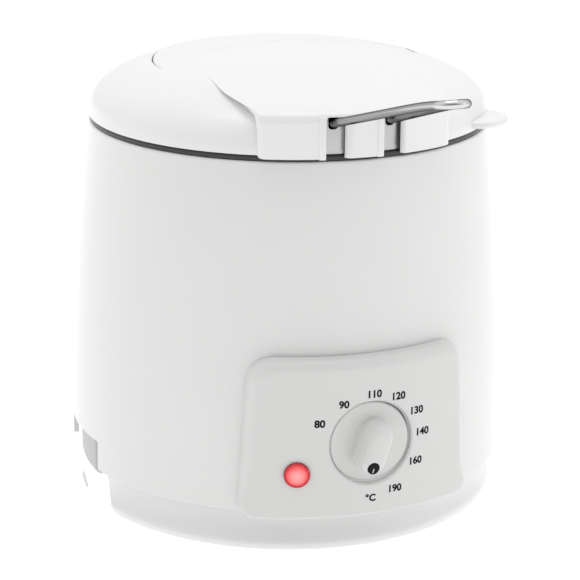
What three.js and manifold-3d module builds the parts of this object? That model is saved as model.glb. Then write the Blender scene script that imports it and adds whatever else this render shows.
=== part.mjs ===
// Mini deep fryer: barrel housing on a flared base, fixed oil bowl, lift-out basket and lift-off lid.
// Millimetres, +Z up. The origin is the centre of the base's flat underside and the dial faces -Y.
import * as THREE from 'three';
import { mergeVertices } from 'three/addons/utils/BufferGeometryUtils.js';
import Module from 'manifold-3d';

const wasm = await Module();
wasm.setup();

// ---------------------------------------------------------------- driving dimensions
const GAP = 0.3; // clearance between pieces that touch

const housing = { footZ: 21, topZ: 182, footR: 105.2, topR: 95.1, wall: 2.5 };
const skirtNotch = { from: -122, to: -78, height: 13.5 }; // cord side cut-out, degrees round from the front
const boss = { angles: [45, -45, -135, 135], inset: 7, r: 5, topZ: 52, pilotDepth: 9, ribT: 3 };
const bridgeBosses = [45, -135]; // the two bosses that carry the bridge bar

const pan = { floor: 3, lift: 2.5, plinthR: 60, rimInset: 3.7, spigotInset: 7.7, wall: 2.5, spigotH: 7,
  recess: 18.5 };
const baseVent = { count: 5, angle: 168, step: 5, half: 1.2, innerR: 66, outerR: 84 };
const leadHole = { half: 3, lowZ: 14, highZ: 22 }; // where the leads pass from the outlet box into the base
const foot = { ringR: 75, r: 8, proud: 1.5 };
const screw = { r: 1.75, headR: 3.5, headH: 1.9 };

const bowl = { flange: 2.3, flangeWidth: 9.1, taper: 7, wall: 2, depth: 103.8, corner: 12 };
const stud = { r: 3, past: 4.2 }; // past: how far it reaches below the bridge bar
const nut = { r: 5.5, h: 3.6 };

const element = { ringR: 58, r: 3.25, gapHalf: 20, legDrop: 12 };
const clampPlate = { r: 66, t: 1.5 };
const reflector = { r: 78, t: 0.8, rim: 6, flare: 4 };
const terminalNotch = { halfWidth: 27, fromY: -47 };
const bridge = { width: 18, t: 2, overhang: 7 };
const bulb = { r: 2.5, fromY: -12, length: 35 };
const capillaryR = 1;
const cutout = { r: 7.5, y: 32, h: 11 };
const terminal = { x: -58, y: 7, halfWidth: 8, halfLength: 15, h: 13, wellR: 2, wellDepth: 7, pitch: 9 };

const panel = { proud: 6.8, wall: 2.5, bottomHalf: 55, topHalf: 52.5, height: 73.5, cornerR: 12,
  lowCornerR: 5 };
const panelWindow = { half: 42, lowZ: 33, highZ: 77 };
const dial = { z: 54.8, r: 19, well: 0.7, wellDepth: 4.5, cupWall: 2, disc: 3, gripLength: 26,
  gripWidth: 13 };
const grip = { height: 10.5, offAngle: -108.5, dotR: 2.5, dotAt: 9, dotDepth: 1.3 };
const shaft = { r: 3, length: 27, hole: 1 };
const thermostat = { setback: 12.5, halfWidth: 17, halfHeight: 12.5, depth: 19, bracketHalf: 27,
  bracketT: 1.5, postX: 23.5, postR: 3.5, socket: 7.2 };
const lens = { angle: -17.6, z: 41.6, r: 6, stemR: 5, dome: 2.4, stem: 6, bore: 3.6 };
const clip = { width: 2, t: 1.5 };
const lamp = { r: 3, length: 13 };

const outlet = { half: 16, gapIn: 3, gapOut: 0.5, lowZ: 13.5, highZ: 40, wall: 2, corner: 6.5 };
const gland = { flangeR: 6.5, flange: 1.8, bushR: 4.6, holeR: 3.5, bush: 5 };

const lid = { rise: 34.5, sink: 2, overhang: 0.2, wall: 2.5, power: 1.5 };
const lobe = { proud: 2.3, wall: 2.2, half: 45.3, drop: 1.2, faceH: 17 };
// The lobe's crown, as distances in from its face and up from the face's top edge.
const lobeCrown = [[0.9, 1.8], [4, 3.2], [7, 4], [14, 5.4], [24, 7.2], [38, 9.4]];
const slot = { width: 9.2, headroom: 0.5, depth: 9.6 };
const tab = { angle: 51, reach: 12, width: 30, t: 3.2, lift: 1.2 };
const vent = { r: 65, frontY: -5, cover: 2.2, recess: 2.8, tilt: 0.8, slots: 4, slotY: 14, slotHalf: 30,
  slotWidth: 4 };
const seal = { width: 3.4, h: 2.7, gapAngle: 17 };
const baffle = { r: 63, lift: 12.7, t: 1.2, postR: 3.5, postRing: 57, posts: [60, 180, -60], pilotDepth: 5,
  holes: 8, holeR: 4, holeRing: 40 };
const filter = { r: 50, h: 7, frontY: 4 };

const basket = { rimInset: 9.4, footInset: 11, wall: 2, floorGap: 1.2, topDrop: 9.1, corner: 6 };
const rimWire = { out: 0.4, r: 1.6 };
const drainRest = { half: 14, rise: 46, t: 2.5, clearance: 1.4 };
const wire = { r: 1.9 };
const handle = { pivotInset: 12, slotRise: 14.8, slope: 0.3, reach: 81, tip: 15, tipSlope: 0.21 };
const hairpin = { half: 13.4, tipHalf: 6.3, pinEnd: 21, bend: 3.6 };
const bracket = { t: 1.2, half: 18.4, tabHalf: 16, tabDrop: 26, tabGap: 3.8, guardInset: 1.5, guardHalf: 12.5,
  guardH: 13.4 };
const ear = { t: 1.4, back: 5, front: 5, topGap: 2.2 };

const ROUND = 36; // facets round the large turned pieces
const SMALL = 12; // facets round small pins, bosses and holes
const FAR = 300; // reaches past the whole object, for cutting blocks

// ---------------------------------------------------------------- derived sizes and places
const rimR = housing.footR - pan.rimInset; // base ring
const spigotR = housing.footR - pan.spigotInset;
const spigotTopZ = housing.footZ + pan.spigotH;
const recessR = spigotR - pan.recess; // back wall of the cord recess
const bossR = spigotR - pan.wall - boss.inset; // ring that the screw bosses stand on
const notchTopZ = housing.footZ + skirtNotch.height;
const outletIn = recessR + outlet.gapIn;
const outletOut = rimR - outlet.gapOut;
const panFloorZ = pan.floor + pan.lift; // top of the base floor outside the plinth
const panUnderZ = panFloorZ - pan.floor;

const flangeZ = housing.topZ + GAP; // underside of the bowl's flange
const flangeTopZ = flangeZ + bowl.flange;
const mouthR = housing.topR - bowl.flangeWidth; // inside of the bowl at its mouth
const floorR = mouthR - bowl.taper; // inside of the bowl at its floor
const bowlFloorZ = flangeTopZ - bowl.depth;
const bowlUnderZ = bowlFloorZ - bowl.wall;
const elementZ = bowlUnderZ - 2 * GAP - element.r;
const clampTopZ = elementZ - element.r - 2 * GAP;
const reflectorTopZ = clampTopZ - clampPlate.t - GAP;
const bridgeZ = boss.topZ + GAP;

const panelR = housing.footR + panel.proud; // the panel's curved front face
const panelTopZ = housing.footZ + panel.height;
const wellR = dial.r + dial.well;
const wellY = -(panelR - dial.wellDepth); // floor of the dial's round well
const dialBackY = wellY - 2 * GAP;
const dialFaceY = dialBackY - dial.disc;
const gripFrontY = dialFaceY - grip.height;
const bracketFrontY = wellY + thermostat.setback; // the bracket stands against the posts
const bodyFrontY = bracketFrontY + thermostat.bracketT + GAP;
const shaftFrontY = wellY - 5.5;
const shaftBackY = shaftFrontY + shaft.length;

const lidZ = flangeTopZ + GAP; // lower edge of the lid
const lidR = housing.topR + lid.overhang;
const lobeR = lidR + lobe.proud;
const faceTopZ = lidZ - lobe.drop + lobe.faceH; // top of the lobe's upright face
const baffleZ = lidZ + baffle.lift;

const basketFloorZ = bowlFloorZ + basket.floorGap; // underside of the basket
const basketTopZ = flangeTopZ - basket.topDrop;
const basketRimR = mouthR - basket.rimInset;
const basketFootR = floorR - basket.footInset;
const slotY = -(lobeR - wire.r); // where the handle passes the lobe's face
const pivotY = -(mouthR - handle.pivotInset);
const kneeY = slotY - handle.reach;
const tipY = kneeY - handle.tip;
const slotZ = lidZ + handle.slotRise; // height of the handle wire at the lobe's face
const wireZ = (y) => // height of the handle wire: two straight slopes that meet at the knee
  slotZ + handle.slope * (slotY - Math.max(y, kneeY)) + handle.tipSlope * Math.max(0, kneeY - y);
const pivotZ = wireZ(pivotY);
const slotTopZ = wireZ(-lobeR) + wire.r + slot.headroom;
const guardR = housing.topR - bracket.guardInset;

// ---------------------------------------------------------------- finishes
const finish = (color, roughness, metalness) =>
  new THREE.MeshStandardMaterial({ color, roughness, metalness });
const whiteGloss = finish(0xf2f2f0, 0.25, 0);
const whiteSatin = finish(0xeeeeec, 0.4, 0);
const nonStick = finish(0x2c2c2e, 0.5, 0.2);
const chrome = finish(0xd8d8dc, 0.12, 1);
const steel = finish(0xb4b6b8, 0.35, 1);
const aluminium = finish(0xc6c8ca, 0.4, 1);
const black = finish(0x1c1c1c, 0.55, 0);
const brown = finish(0x5a3524, 0.5, 0);
const silicone = finish(0x9a9a98, 0.7, 0);
const foam = finish(0x33332f, 0.95, 0);
const redLens = finish(0xd81f1a, 0.15, 0);
const glass = finish(0xf0c0a0, 0.1, 0);
const brass = finish(0xc8a860, 0.3, 1);
const rubber = finish(0x3a3a3a, 0.85, 0);

// ---------------------------------------------------------------- solids
const rad = THREE.MathUtils.degToRad;

/** A closed, welded, outward-facing manifold solid from a three.js geometry. */
function solid(geometry) {
  const plain = geometry.clone();
  plain.deleteAttribute('normal');
  plain.deleteAttribute('uv');
  const welded = mergeVertices(plain, 1e-4);
  const corners = welded.index.array;
  const p = welded.attributes.position;
  const triangles = [];
  let volume = 0;
  const [a, b, c] = [new THREE.Vector3(), new THREE.Vector3(), new THREE.Vector3()];
  for (let i = 0; i < corners.length; i += 3) {
    const [u, v, w] = [corners[i], corners[i + 1], corners[i + 2]];
    if (u === v || v === w || w === u) continue;
    triangles.push(u, v, w);
    volume += a.fromBufferAttribute(p, u).dot(b.fromBufferAttribute(p, v).cross(c.fromBufferAttribute(p, w)));
  }
  if (volume < 0) triangles.reverse();
  return new wasm.Manifold(new wasm.Mesh({
    numProp: 3, vertProperties: new Float32Array(p.array), triVerts: new Uint32Array(triangles),
  }));
}

/** A named three.js mesh from a manifold solid. */
function piece(name, body, material) {
  const { vertProperties, triVerts } = body.getMesh();
  const geometry = new THREE.BufferGeometry();
  geometry.setAttribute('position', new THREE.BufferAttribute(new Float32Array(vertProperties), 3));
  geometry.setIndex(new THREE.BufferAttribute(new Uint32Array(triVerts), 1));
  geometry.computeVertexNormals();
  const mesh = new THREE.Mesh(geometry, material);
  mesh.name = name;
  return mesh;
}

/** Turned solid about Z from [radius, z] points that start and end on the axis, or close on themselves. */
function turned(points, facets = ROUND) {
  const profile = points.map(([r, z]) => new THREE.Vector2(r, z));
  if (points[0][0] > 0) profile.push(profile[0].clone());
  return solid(new THREE.LatheGeometry(profile, facets).rotateX(Math.PI / 2));
}

/** Vertical prism of a flat outline in X and Y. */
function prism(shape, lowZ, highZ, curveSegments = 8) {
  const options = { depth: highZ - lowZ, bevelEnabled: false, curveSegments };
  return solid(new THREE.ExtrudeGeometry(shape, options).translate(0, 0, lowZ));
}

const box = (x0, x1, y0, y1, z0, z1) =>
  solid(new THREE.BoxGeometry(x1 - x0, y1 - y0, z1 - z0)
    .translate((x0 + x1) / 2, (y0 + y1) / 2, (z0 + z1) / 2));

const disc = (r, x, y, lowZ, highZ, facets = SMALL) =>
  solid(new THREE.CylinderGeometry(r, r, highZ - lowZ, facets).rotateX(Math.PI / 2)
    .translate(x, y, (lowZ + highZ) / 2));

/** Cylinder along Y between two places, at a height and sideways place. */
const rodY = (r, x, z, frontY, backY, facets = SMALL) =>
  solid(new THREE.CylinderGeometry(r, r, backY - frontY, facets).translate(x, (frontY + backY) / 2, z));

/** A point at a radius and an angle round from the front. */
const around = (r, degrees) => [r * Math.sin(rad(degrees)), -r * Math.cos(rad(degrees))];

/** Turns a solid built at the front round to an angle from the front. */
const swing = (body, degrees) => body.rotate([0, 0, degrees]);

/** Upright band between two radii and two angles from the front. */
function sector(r0, r1, from, to, lowZ, highZ) {
  const steps = Math.max(2, Math.ceil((to - from) / 7.5));
  const arc = (r) => Array.from({ length: steps + 1 }, (_, i) => around(r, from + ((to - from) * i) / steps));
  const outline = [...arc(r1), ...arc(r0).reverse()].map(([x, y]) => new THREE.Vector2(x, y));
  return prism(new THREE.Shape(outline), lowZ, highZ);
}

/** Round tube along a curve. */
function tube(curve, r, steps, sides = 8) {
  const ring = new THREE.Shape();
  ring.absarc(0, 0, r, 0, Math.PI * 2);
  return solid(new THREE.ExtrudeGeometry(ring, { steps, extrudePath: curve, curveSegments: sides / 2 }));
}

const through = (points) =>
  new THREE.CatmullRomCurve3(points.map((p) => new THREE.Vector3(...p)), false, 'centripetal');

// ---------------------------------------------------------------- housing, base and panel
/** Outer radius of the barrel at a height: full at the foot, drawn in by the square of the height. */
function barrelR(z) {
  const t = (z - housing.footZ) / (housing.topZ - housing.footZ);
  return housing.footR - (housing.footR - housing.topR) * t * t;
}

/** Barrel profile from the foot to the top, moved in or out by an offset. */
const barrelSide = (offset, steps = 4, lowZ = housing.footZ, highZ = housing.topZ) =>
  Array.from({ length: steps + 1 }, (_, i) => {
    const z = lowZ + ((highZ - lowZ) * i) / steps;
    return [barrelR(z) + offset, z];
  });

function outerHousing() {
  const wallTopZ = housing.topZ - housing.wall;
  const inside = barrelSide(-housing.wall, 4, housing.footZ, wallTopZ).reverse();
  const lipR = mouthR + bowl.wall + GAP; // the lip ends at the bowl's side
  let shell = turned([...barrelSide(0), [lipR, housing.topZ], [lipR, wallTopZ], ...inside]);
  const { from, to } = skirtNotch;
  shell = shell.subtract(sector(spigotR, housing.footR + 5, from, to, 0, notchTopZ));
  const { half, lowZ, highZ } = panelWindow;
  shell = shell.subtract(box(-half, half, -FAR, bracketFrontY + 20, lowZ, highZ));
  for (const angle of boss.angles) {
    const post = disc(boss.r, 0, -bossR, panFloorZ + GAP, boss.topZ);
    const ribY = 1 - barrelR(boss.topZ);
    const rib = box(-boss.ribT / 2, boss.ribT / 2, ribY, -bossR, spigotTopZ + 1, boss.topZ - 2);
    const lowPilot = disc(screw.r + GAP, 0, -bossR, 0, panFloorZ + GAP + boss.pilotDepth);
    const highPilot = disc(screw.r + GAP, 0, -bossR, boss.topZ - boss.pilotDepth, boss.topZ + 1);
    const bored = post.add(rib).subtract(lowPilot);
    shell = shell.add(swing(bridgeBosses.includes(angle) ? bored.subtract(highPilot) : bored, angle));
  }
  return piece('outer_housing', shell, whiteGloss);
}

function basePan() {
  const [r, s, top, w] = [rimR, spigotR, spigotTopZ, pan.wall];
  let body = turned([
    [0, 0], [pan.plinthR, 0], [pan.plinthR + 2, panUnderZ], [r - 9, panUnderZ], [r - 7, 0], [r - 2.5, 0],
    [r - 0.6, 0.8], [r, 2.6], [r - 0.5, 6], [r - 1.9, 12], [s + 0.7, 17], [s, housing.footZ + 0.5], [s, top],
    [s - w, top], [s - w, 20], [s - w + 1.6, 13], [r - 3.5, 6.5], [r - 5, panFloorZ],
    [pan.plinthR, panFloorZ], [pan.plinthR - 2, pan.floor], [0, pan.floor],
  ]);
  const { from, to } = skirtNotch;
  const side = 2; // degrees of wall at each end of the recess
  const middle = (from + to) / 2;
  body = body.add(sector(recessR, r - 6, from - side, to + side, panUnderZ + 0.2, top));
  body = body.subtract(sector(recessR + w, r + 10, from, to, -5, top + 5));
  body = body.subtract(sector(recessR - 5, recessR + 5, middle - leadHole.half, middle + leadHole.half,
    leadHole.lowZ, leadHole.highZ));
  for (const angle of boss.angles) {
    body = body.subtract(swing(disc(screw.r + GAP, 0, -bossR, -1, panFloorZ + 1), angle));
  }
  for (let i = 0; i < baseVent.count; i += 1) {
    const angle = baseVent.angle + i * baseVent.step;
    const [left, right] = [angle - baseVent.half, angle + baseVent.half];
    body = body.subtract(sector(baseVent.innerR, baseVent.outerR, left, right, -1, panFloorZ + 1));
  }
  return piece('base_pan', body, whiteGloss);
}

function feetAndBaseScrews() {
  const headZ = panUnderZ - GAP;
  return boss.angles.flatMap((angle, i) => {
    const pad = disc(foot.r, 0, -foot.ringR, -foot.proud, headZ, 20);
    const shank = disc(screw.r, 0, -bossR, headZ - 0.2, panFloorZ + boss.pilotDepth - 1, 10);
    const fastener = disc(screw.headR, 0, -bossR, headZ - screw.headH, headZ).add(shank);
    return [
      piece(`rubber_foot_${i + 1}`, swing(pad, angle), rubber),
      piece(`base_screw_${i + 1}`, swing(fastener, angle), steel),
    ];
  });
}

/** Front outline of the panel, inset by a margin: a tapered block with large upper corners. */
function panelOutline(margin) {
  const low = housing.footZ + margin;
  const high = panelTopZ - margin;
  const [b, t] = [panel.bottomHalf - margin, panel.topHalf - margin];
  const [r, q] = [panel.cornerR - margin, Math.max(panel.lowCornerR - margin, 1)];
  const shape = new THREE.Shape();
  shape.moveTo(-b + q, low);
  shape.lineTo(b - q, low);
  shape.absarc(b - q, low + q, q, -Math.PI / 2, 0);
  shape.lineTo(t, high - r);
  shape.absarc(t - r, high - r, r, 0, Math.PI / 2);
  shape.lineTo(-t + r, high);
  shape.absarc(-t + r, high - r, r, Math.PI / 2, Math.PI);
  shape.lineTo(-b, low + q);
  shape.absarc(-b + q, low + q, q, Math.PI, Math.PI * 1.5);
  return shape;
}

/** Panel outline carried along Y from the front face back into the barrel. */
function panelBlock(margin) {
  const options = { depth: panelR, bevelEnabled: false, curveSegments: 4 };
  const geometry = new THREE.ExtrudeGeometry(panelOutline(margin), options);
  return solid(geometry.rotateX(Math.PI / 2).translate(0, wellY + thermostat.setback + 25, 0));
}

function controlPanel() {
  const [low, high] = [housing.footZ, panelTopZ];
  const face = panelR;
  const inside = face - panel.wall;
  const drum = (r, z0, z1, edge) => turned([[0, z0], [r - edge, z0], [r, z0 + edge], [r, z1 - edge * 1.6],
    [r - edge, z1], [0, z1]], 72);
  let body = drum(face, low, high, 2).intersect(panelBlock(0));
  const hollow = drum(inside, low + panel.wall, high - panel.wall, 0.5);
  body = body.subtract(hollow.intersect(panelBlock(panel.wall)));
  const cup = rodY(wellR + dial.cupWall, 0, dial.z, -(face - 1), wellY + dial.cupWall, 32);
  body = body.add(cup);
  const barrel = turned([[0, low - 5], [barrelR(low) + GAP, low - 5], ...barrelSide(GAP, 6, low, high + 5),
    [0, high + 5]], 72);
  const windowBlock = box(-panelWindow.half + 1, panelWindow.half - 1, -FAR, bracketFrontY + 20,
    panelWindow.lowZ + 1, panelWindow.highZ - 1);
  body = body.subtract(barrel.subtract(windowBlock));
  for (const side of [-1, 1]) {
    const x = side * thermostat.postX;
    body = body.add(rodY(thermostat.postR, x, dial.z, -(inside - 1.5), bracketFrontY));
    const socketY = bracketFrontY - thermostat.socket - 1;
    body = body.subtract(rodY(screw.r + GAP, x, dial.z, socketY, bracketFrontY + 1));
  }
  body = body.subtract(rodY(wellR, 0, dial.z, -FAR, wellY, 32));
  body = body.subtract(rodY(shaft.r + shaft.hole, 0, dial.z, -FAR, bracketFrontY));
  body = body.subtract(radial(lens.stemR + GAP, -FAR, bracketFrontY));
  return piece('control_panel', body, whiteGloss);
}

/** Cylinder along the lens axis, between two distances out from the barrel's axis. */
const radial = (r, frontY, backY, facets = SMALL) =>
  swing(rodY(r, 0, lens.z, frontY, backY, facets), lens.angle);

// ---------------------------------------------------------------- dial, thermostat and lamp
/** A round-ended bar lying along X, standing on the dial's face. */
function gripBar(length, width, frontY, backY) {
  const r = width / 2;
  const half = length / 2 - r;
  const shape = new THREE.Shape();
  shape.absarc(half, 0, r, -Math.PI / 2, Math.PI / 2);
  shape.absarc(-half, 0, r, Math.PI / 2, Math.PI * 1.5);
  const options = { depth: backY - frontY, bevelEnabled: false, curveSegments: 6 };
  const geometry = new THREE.ExtrudeGeometry(shape, options);
  return solid(geometry.rotateX(Math.PI / 2).translate(0, backY, 0));
}

/** Turns a piece built about the Y axis to the off position and lifts it to the dial's height. */
const setToOff = (body) => body.rotate([0, -grip.offAngle, 0]).translate([0, 0, dial.z]);

function controlKnob() {
  const bar = gripBar(dial.gripLength, dial.gripWidth, gripFrontY, dialFaceY + 1);
  const plate = rodY(dial.r, 0, 0, dialFaceY, dialBackY, 32);
  const bore = rodY(shaft.r + GAP, 0, 0, shaftFrontY - GAP, dialBackY + 1);
  const seat = rodY(grip.dotR + GAP, grip.dotAt, 0, gripFrontY - 1, gripFrontY + grip.dotDepth + GAP);
  return piece('control_knob', setToOff(plate.add(bar).subtract(bore).subtract(seat)), whiteGloss);
}

function knobPointer() {
  const dot = rodY(grip.dotR, grip.dotAt, 0, gripFrontY, gripFrontY + grip.dotDepth);
  return piece('knob_pointer', setToOff(dot), black);
}

function thermostatShaft() {
  return piece('thermostat_shaft', rodY(shaft.r, 0, dial.z, shaftFrontY, shaftBackY), brass);
}

function thermostatParts() {
  const { halfWidth: w, halfHeight: h, depth, bracketHalf, bracketT, postX } = thermostat;
  const block = box(-w, w, bodyFrontY, bodyFrontY + depth, dial.z - h, dial.z + h)
    .subtract(rodY(shaft.r + GAP, 0, dial.z, bodyFrontY - 1, shaftBackY + GAP));
  const plateBackY = bracketFrontY + bracketT;
  let plate = box(-bracketHalf, bracketHalf, bracketFrontY + GAP / 2, plateBackY, dial.z - h, dial.z + h)
    .subtract(rodY(shaft.r + shaft.hole, 0, dial.z, bracketFrontY - 1, bodyFrontY + 1));
  const screws = [-1, 1].map((side) => {
    const x = side * postX;
    plate = plate.subtract(rodY(screw.r + GAP, x, dial.z, bracketFrontY - 1, plateBackY + 1));
    const backY = plateBackY + GAP;
    const fastener = rodY(screw.r, x, dial.z, bracketFrontY - thermostat.socket + 0.2, backY + 0.2, 10)
      .add(rodY(screw.headR, x, dial.z, backY, backY + screw.headH));
    return piece(`thermostat_screw_${side < 0 ? 1 : 2}`, fastener, steel);
  });
  return [piece('thermostat_body', block, brown), piece('thermostat_bracket', plate, steel), ...screws];
}

function neonParts() {
  const r = panelR + GAP;
  const crown = [[0, 0], [lens.r, 0], [lens.r, 0.8], [lens.r * 0.8, 1.7], [lens.r * 0.45, lens.dome - 0.1],
    [0, lens.dome]];
  const dome = swing(turned(crown, 20).rotate([90, 0, 0]).translate([0, -r, lens.z]), lens.angle);
  const cap = dome.add(radial(lens.stemR, -r - 0.2, -(r - lens.stem)))
    .subtract(radial(lens.bore, -r, bracketFrontY));
  const clipR = panelR - panel.wall - GAP;
  const washer = radial(lens.stemR + clip.width, -clipR, clip.t - clipR)
    .subtract(radial(lens.stemR + GAP, -FAR, bracketFrontY));
  const tip = r - GAP;
  return [
    piece('neon_lens', cap, redLens),
    piece('neon_clip', washer, steel),
    piece('neon_lamp', radial(lamp.r, -tip, lamp.length - tip), glass),
  ];
}

// ---------------------------------------------------------------- bowl and heater
function oilBowl() {
  const { wall, corner } = bowl;
  const under = bowlUnderZ;
  const sideZ = bowlFloorZ + corner;
  const arc = (r, centreR, centreZ, steps = 4) => Array.from({ length: steps + 1 }, (_, i) => {
    const a = (Math.PI / 2) * (i / steps);
    return [centreR + r * Math.sin(a), centreZ - r * Math.cos(a)];
  });
  const outside = arc(corner + wall, floorR - corner, sideZ);
  const inside = arc(corner, floorR - corner, sideZ).reverse();
  let body = turned([[0, under], ...outside, [mouthR + wall, flangeZ], [housing.topR, flangeZ],
    [housing.topR, flangeTopZ], [mouthR, flangeTopZ], ...inside, [0, bowlFloorZ]]);
  body = body.add(disc(stud.r, 0, 0, boss.topZ - stud.past, under + 0.5, 12));
  return piece('oil_bowl', body, nonStick);
}

function heatingElement() {
  const { ringR, gapHalf, legDrop } = element;
  const gapAngle = THREE.MathUtils.radToDeg(Math.asin(gapHalf / ringR));
  const [x, y] = around(ringR, gapAngle);
  const leg = (side) => [[side * x, y, elementZ - legDrop], [side * x, y, elementZ - legDrop + 5],
    [side * (x + 0.6), y + 0.3, elementZ - 4]];
  const loop = [];
  const start = gapAngle + 8;
  const turns = 18;
  for (let i = 0; i <= turns; i += 1) {
    const angle = start + ((360 - 2 * start) * i) / turns;
    loop.push([...around(ringR, angle), elementZ]);
  }
  const curve = through([...leg(1), ...loop, ...leg(-1).reverse()]);
  return piece('heating_element', tube(curve, element.r, 46), steel);
}

function frontNotch(body) {
  const { halfWidth, fromY } = terminalNotch;
  return body.subtract(box(-halfWidth, halfWidth, -FAR, fromY, 0, FAR));
}

function heaterStack() {
  const hole = disc(stud.r + GAP, 0, 0, 0, FAR);
  const cutoutHole = disc(cutout.r + 1, 0, cutout.y, 0, FAR);
  const plate = frontNotch(disc(clampPlate.r, 0, 0, clampTopZ - clampPlate.t, clampTopZ, 30))
    .subtract(hole).subtract(cutoutHole);
  const top = reflectorTopZ;
  const cutoutTopZ = bowlUnderZ - GAP;
  const { r, t, rim, flare } = reflector;
  const dishSide = [[0, top - t], [r, top - t], [r + flare, top - t + rim],
    [r + flare - t, top - t / 2 + rim], [r - t, top], [0, top]];
  const dish = frontNotch(turned(dishSide, 30)).subtract(hole).subtract(cutoutHole);
  const hex = (highZ) => disc(nut.r, 0, 0, highZ - nut.h, highZ, 6).subtract(hole);
  return [
    piece('element_clamp_plate', plate, steel),
    piece('heat_reflector', dish, aluminium),
    piece('clamp_nut', hex(top - t - GAP), steel),
    piece('bridge_nut', hex(bridgeZ - GAP), steel),
    piece('thermal_cutout', disc(cutout.r, 0, cutout.y, cutoutTopZ - cutout.h, cutoutTopZ, 20), black),
  ];
}

function supportBridge() {
  const half = bossR + bridge.overhang;
  const bar = box(-bridge.width / 2, bridge.width / 2, -half, half, bridgeZ, bridgeZ + bridge.t)
    .subtract(disc(stud.r + GAP, 0, 0, 0, FAR));
  const holes = [-1, 1].map((side) => disc(screw.r + GAP, 0, side * bossR, 0, FAR));
  const drilled = bar.subtract(holes[0]).subtract(holes[1]);
  const headZ = bridgeZ + bridge.t + GAP;
  const screws = bridgeBosses.map((angle, i) => {
    const fastener = disc(screw.r, 0, -bossR, boss.topZ - boss.pilotDepth + 1, headZ + 0.2, 10)
      .add(disc(screw.headR, 0, -bossR, headZ, headZ + screw.headH));
    return piece(`bridge_screw_${i + 1}`, swing(fastener, angle), steel);
  });
  return [piece('support_bridge', swing(drilled, bridgeBosses[0]), steel), ...screws];
}

function sensor() {
  const z = bowlUnderZ - GAP - bulb.r;
  const endY = bulb.fromY - bulb.length;
  const backY = bodyFrontY + thermostat.depth + GAP;
  const line = through([[0, endY - GAP, z], [0, endY - 12, z], [0, backY + 6, z - 4],
    [0, backY + 4.5, z - 12], [0, backY + 3.5, dial.z + 4], [0, backY + 2.5, dial.z],
    [0, backY + GAP, dial.z - 1]]);
  return [
    piece('sensor_bulb', rodY(bulb.r, 0, z, endY, bulb.fromY, 12), brass),
    piece('capillary_tube', tube(line, capillaryR, 20, 6), brass),
  ];
}

// ---------------------------------------------------------------- mains inlet
const outletAngle = (skirtNotch.from + skirtNotch.to) / 2;

function cordOutlet() {
  const { half, lowZ, highZ, wall, corner } = outlet;
  const [innerR, outerR] = [outletIn, outletOut];
  const [from, to] = [outletAngle - half, outletAngle + half];
  const ring = (margin) => {
    const [r, c] = [outerR - margin, corner - margin];
    const low = lowZ + margin;
    const round = [0, 1, 2, 3, 4].map((i) => {
      const a = (Math.PI / 2) * (i / 4);
      return [r - c + c * Math.sin(a), low + c - c * Math.cos(a)];
    });
    return turned([[innerR - margin, low], ...round, [r, highZ - margin], [innerR - margin, highZ - margin]]);
  };
  const wallAngle = THREE.MathUtils.radToDeg(wall / ((innerR + outerR) / 2));
  const outer = ring(0).intersect(sector(innerR, outerR + 5, from, to, lowZ - 1, highZ + 1));
  const inside = sector(innerR - 5, outerR + 5, from + wallAngle, to - wallAngle, lowZ, highZ);
  const hollow = ring(wall).intersect(inside);
  const shell = outer.subtract(hollow).subtract(glandRod(gland.bushR + GAP, -4, 4));
  const ringGland = glandRod(gland.flangeR, GAP, GAP + gland.flange)
    .add(glandRod(gland.bushR, 0.2 - gland.bush, 0.5))
    .subtract(glandRod(gland.holeR, -10, 10));
  return [piece('cord_outlet_box', shell, whiteSatin), piece('cord_gland', ringGland, black)];
}

/** Cylinder square to the outlet box's rear end, between two distances out from that face. */
function glandRod(r, inner, outer) {
  const middleR = (outletIn + outletOut) / 2;
  const rod = solid(new THREE.CylinderGeometry(r, r, outer - inner, SMALL).rotateZ(Math.PI / 2)
    .translate(-(inner + outer) / 2, -middleR, (outlet.lowZ + outlet.highZ) / 2));
  return swing(rod, outletAngle - outlet.half);
}

function terminalBlock() {
  const { x, y, halfWidth, halfLength, h, wellR: r, wellDepth, pitch } = terminal;
  const lowZ = panFloorZ + GAP;
  let body = box(x - halfWidth, x + halfWidth, y - halfLength, y + halfLength, lowZ, lowZ + h);
  for (const way of [-1, 0, 1]) {
    body = body.subtract(disc(r, x, y + way * pitch, lowZ + h - wellDepth, lowZ + h + 1, 10));
  }
  return piece('terminal_block', body, whiteSatin);
}

// ---------------------------------------------------------------- lid
/** Height of the lid's dome at a radius: a flattened crown with a round shoulder. */
const domeZ = (r, offset = 0) =>
  lidZ - lid.sink + (lid.rise - offset) * Math.cbrt(Math.max(0, 1 - (r / (lidR - offset)) ** lid.power));

/** Dome profile from the rim up to the axis, closed down to a given height. */
function domeSolid(offset, lowZ, steps = 8) {
  const r = lidR - offset;
  const points = Array.from({ length: steps + 1 }, (_, i) => {
    const radius = r * Math.cos((Math.PI / 2) * (i / steps) ** 1.3);
    return [i === steps ? 0 : radius, Math.max(domeZ(radius, offset), lowZ)];
  });
  return turned([[0, lowZ], [r, lowZ], ...points]);
}

/** The front lobe: a straight-sided hood whose face stands proud of the dome and carries the slots. */
function lobeSolid(offset, lowZ) {
  const r = lobeR - offset;
  const crown = lobeCrown.map(([inward, up]) => [r - inward, faceTopZ + up - offset]);
  const topZ = crown.at(-1)[1];
  const side = lobe.half - offset;
  return turned([[0, lowZ], [r, lowZ], [r, faceTopZ - offset], ...crown, [0, topZ]])
    .intersect(box(-side, side, -FAR, -30, lowZ, FAR));
}

/** D-shaped block behind the vent's front edge. */
function ventBlock(margin, lowZ = housing.topZ, highZ = FAR) {
  const r = vent.r + margin;
  const frontY = vent.frontY - margin;
  return disc(r, 0, 0, lowZ, highZ, 40).intersect(box(-r, r, frontY, r, lowZ, highZ));
}

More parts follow.
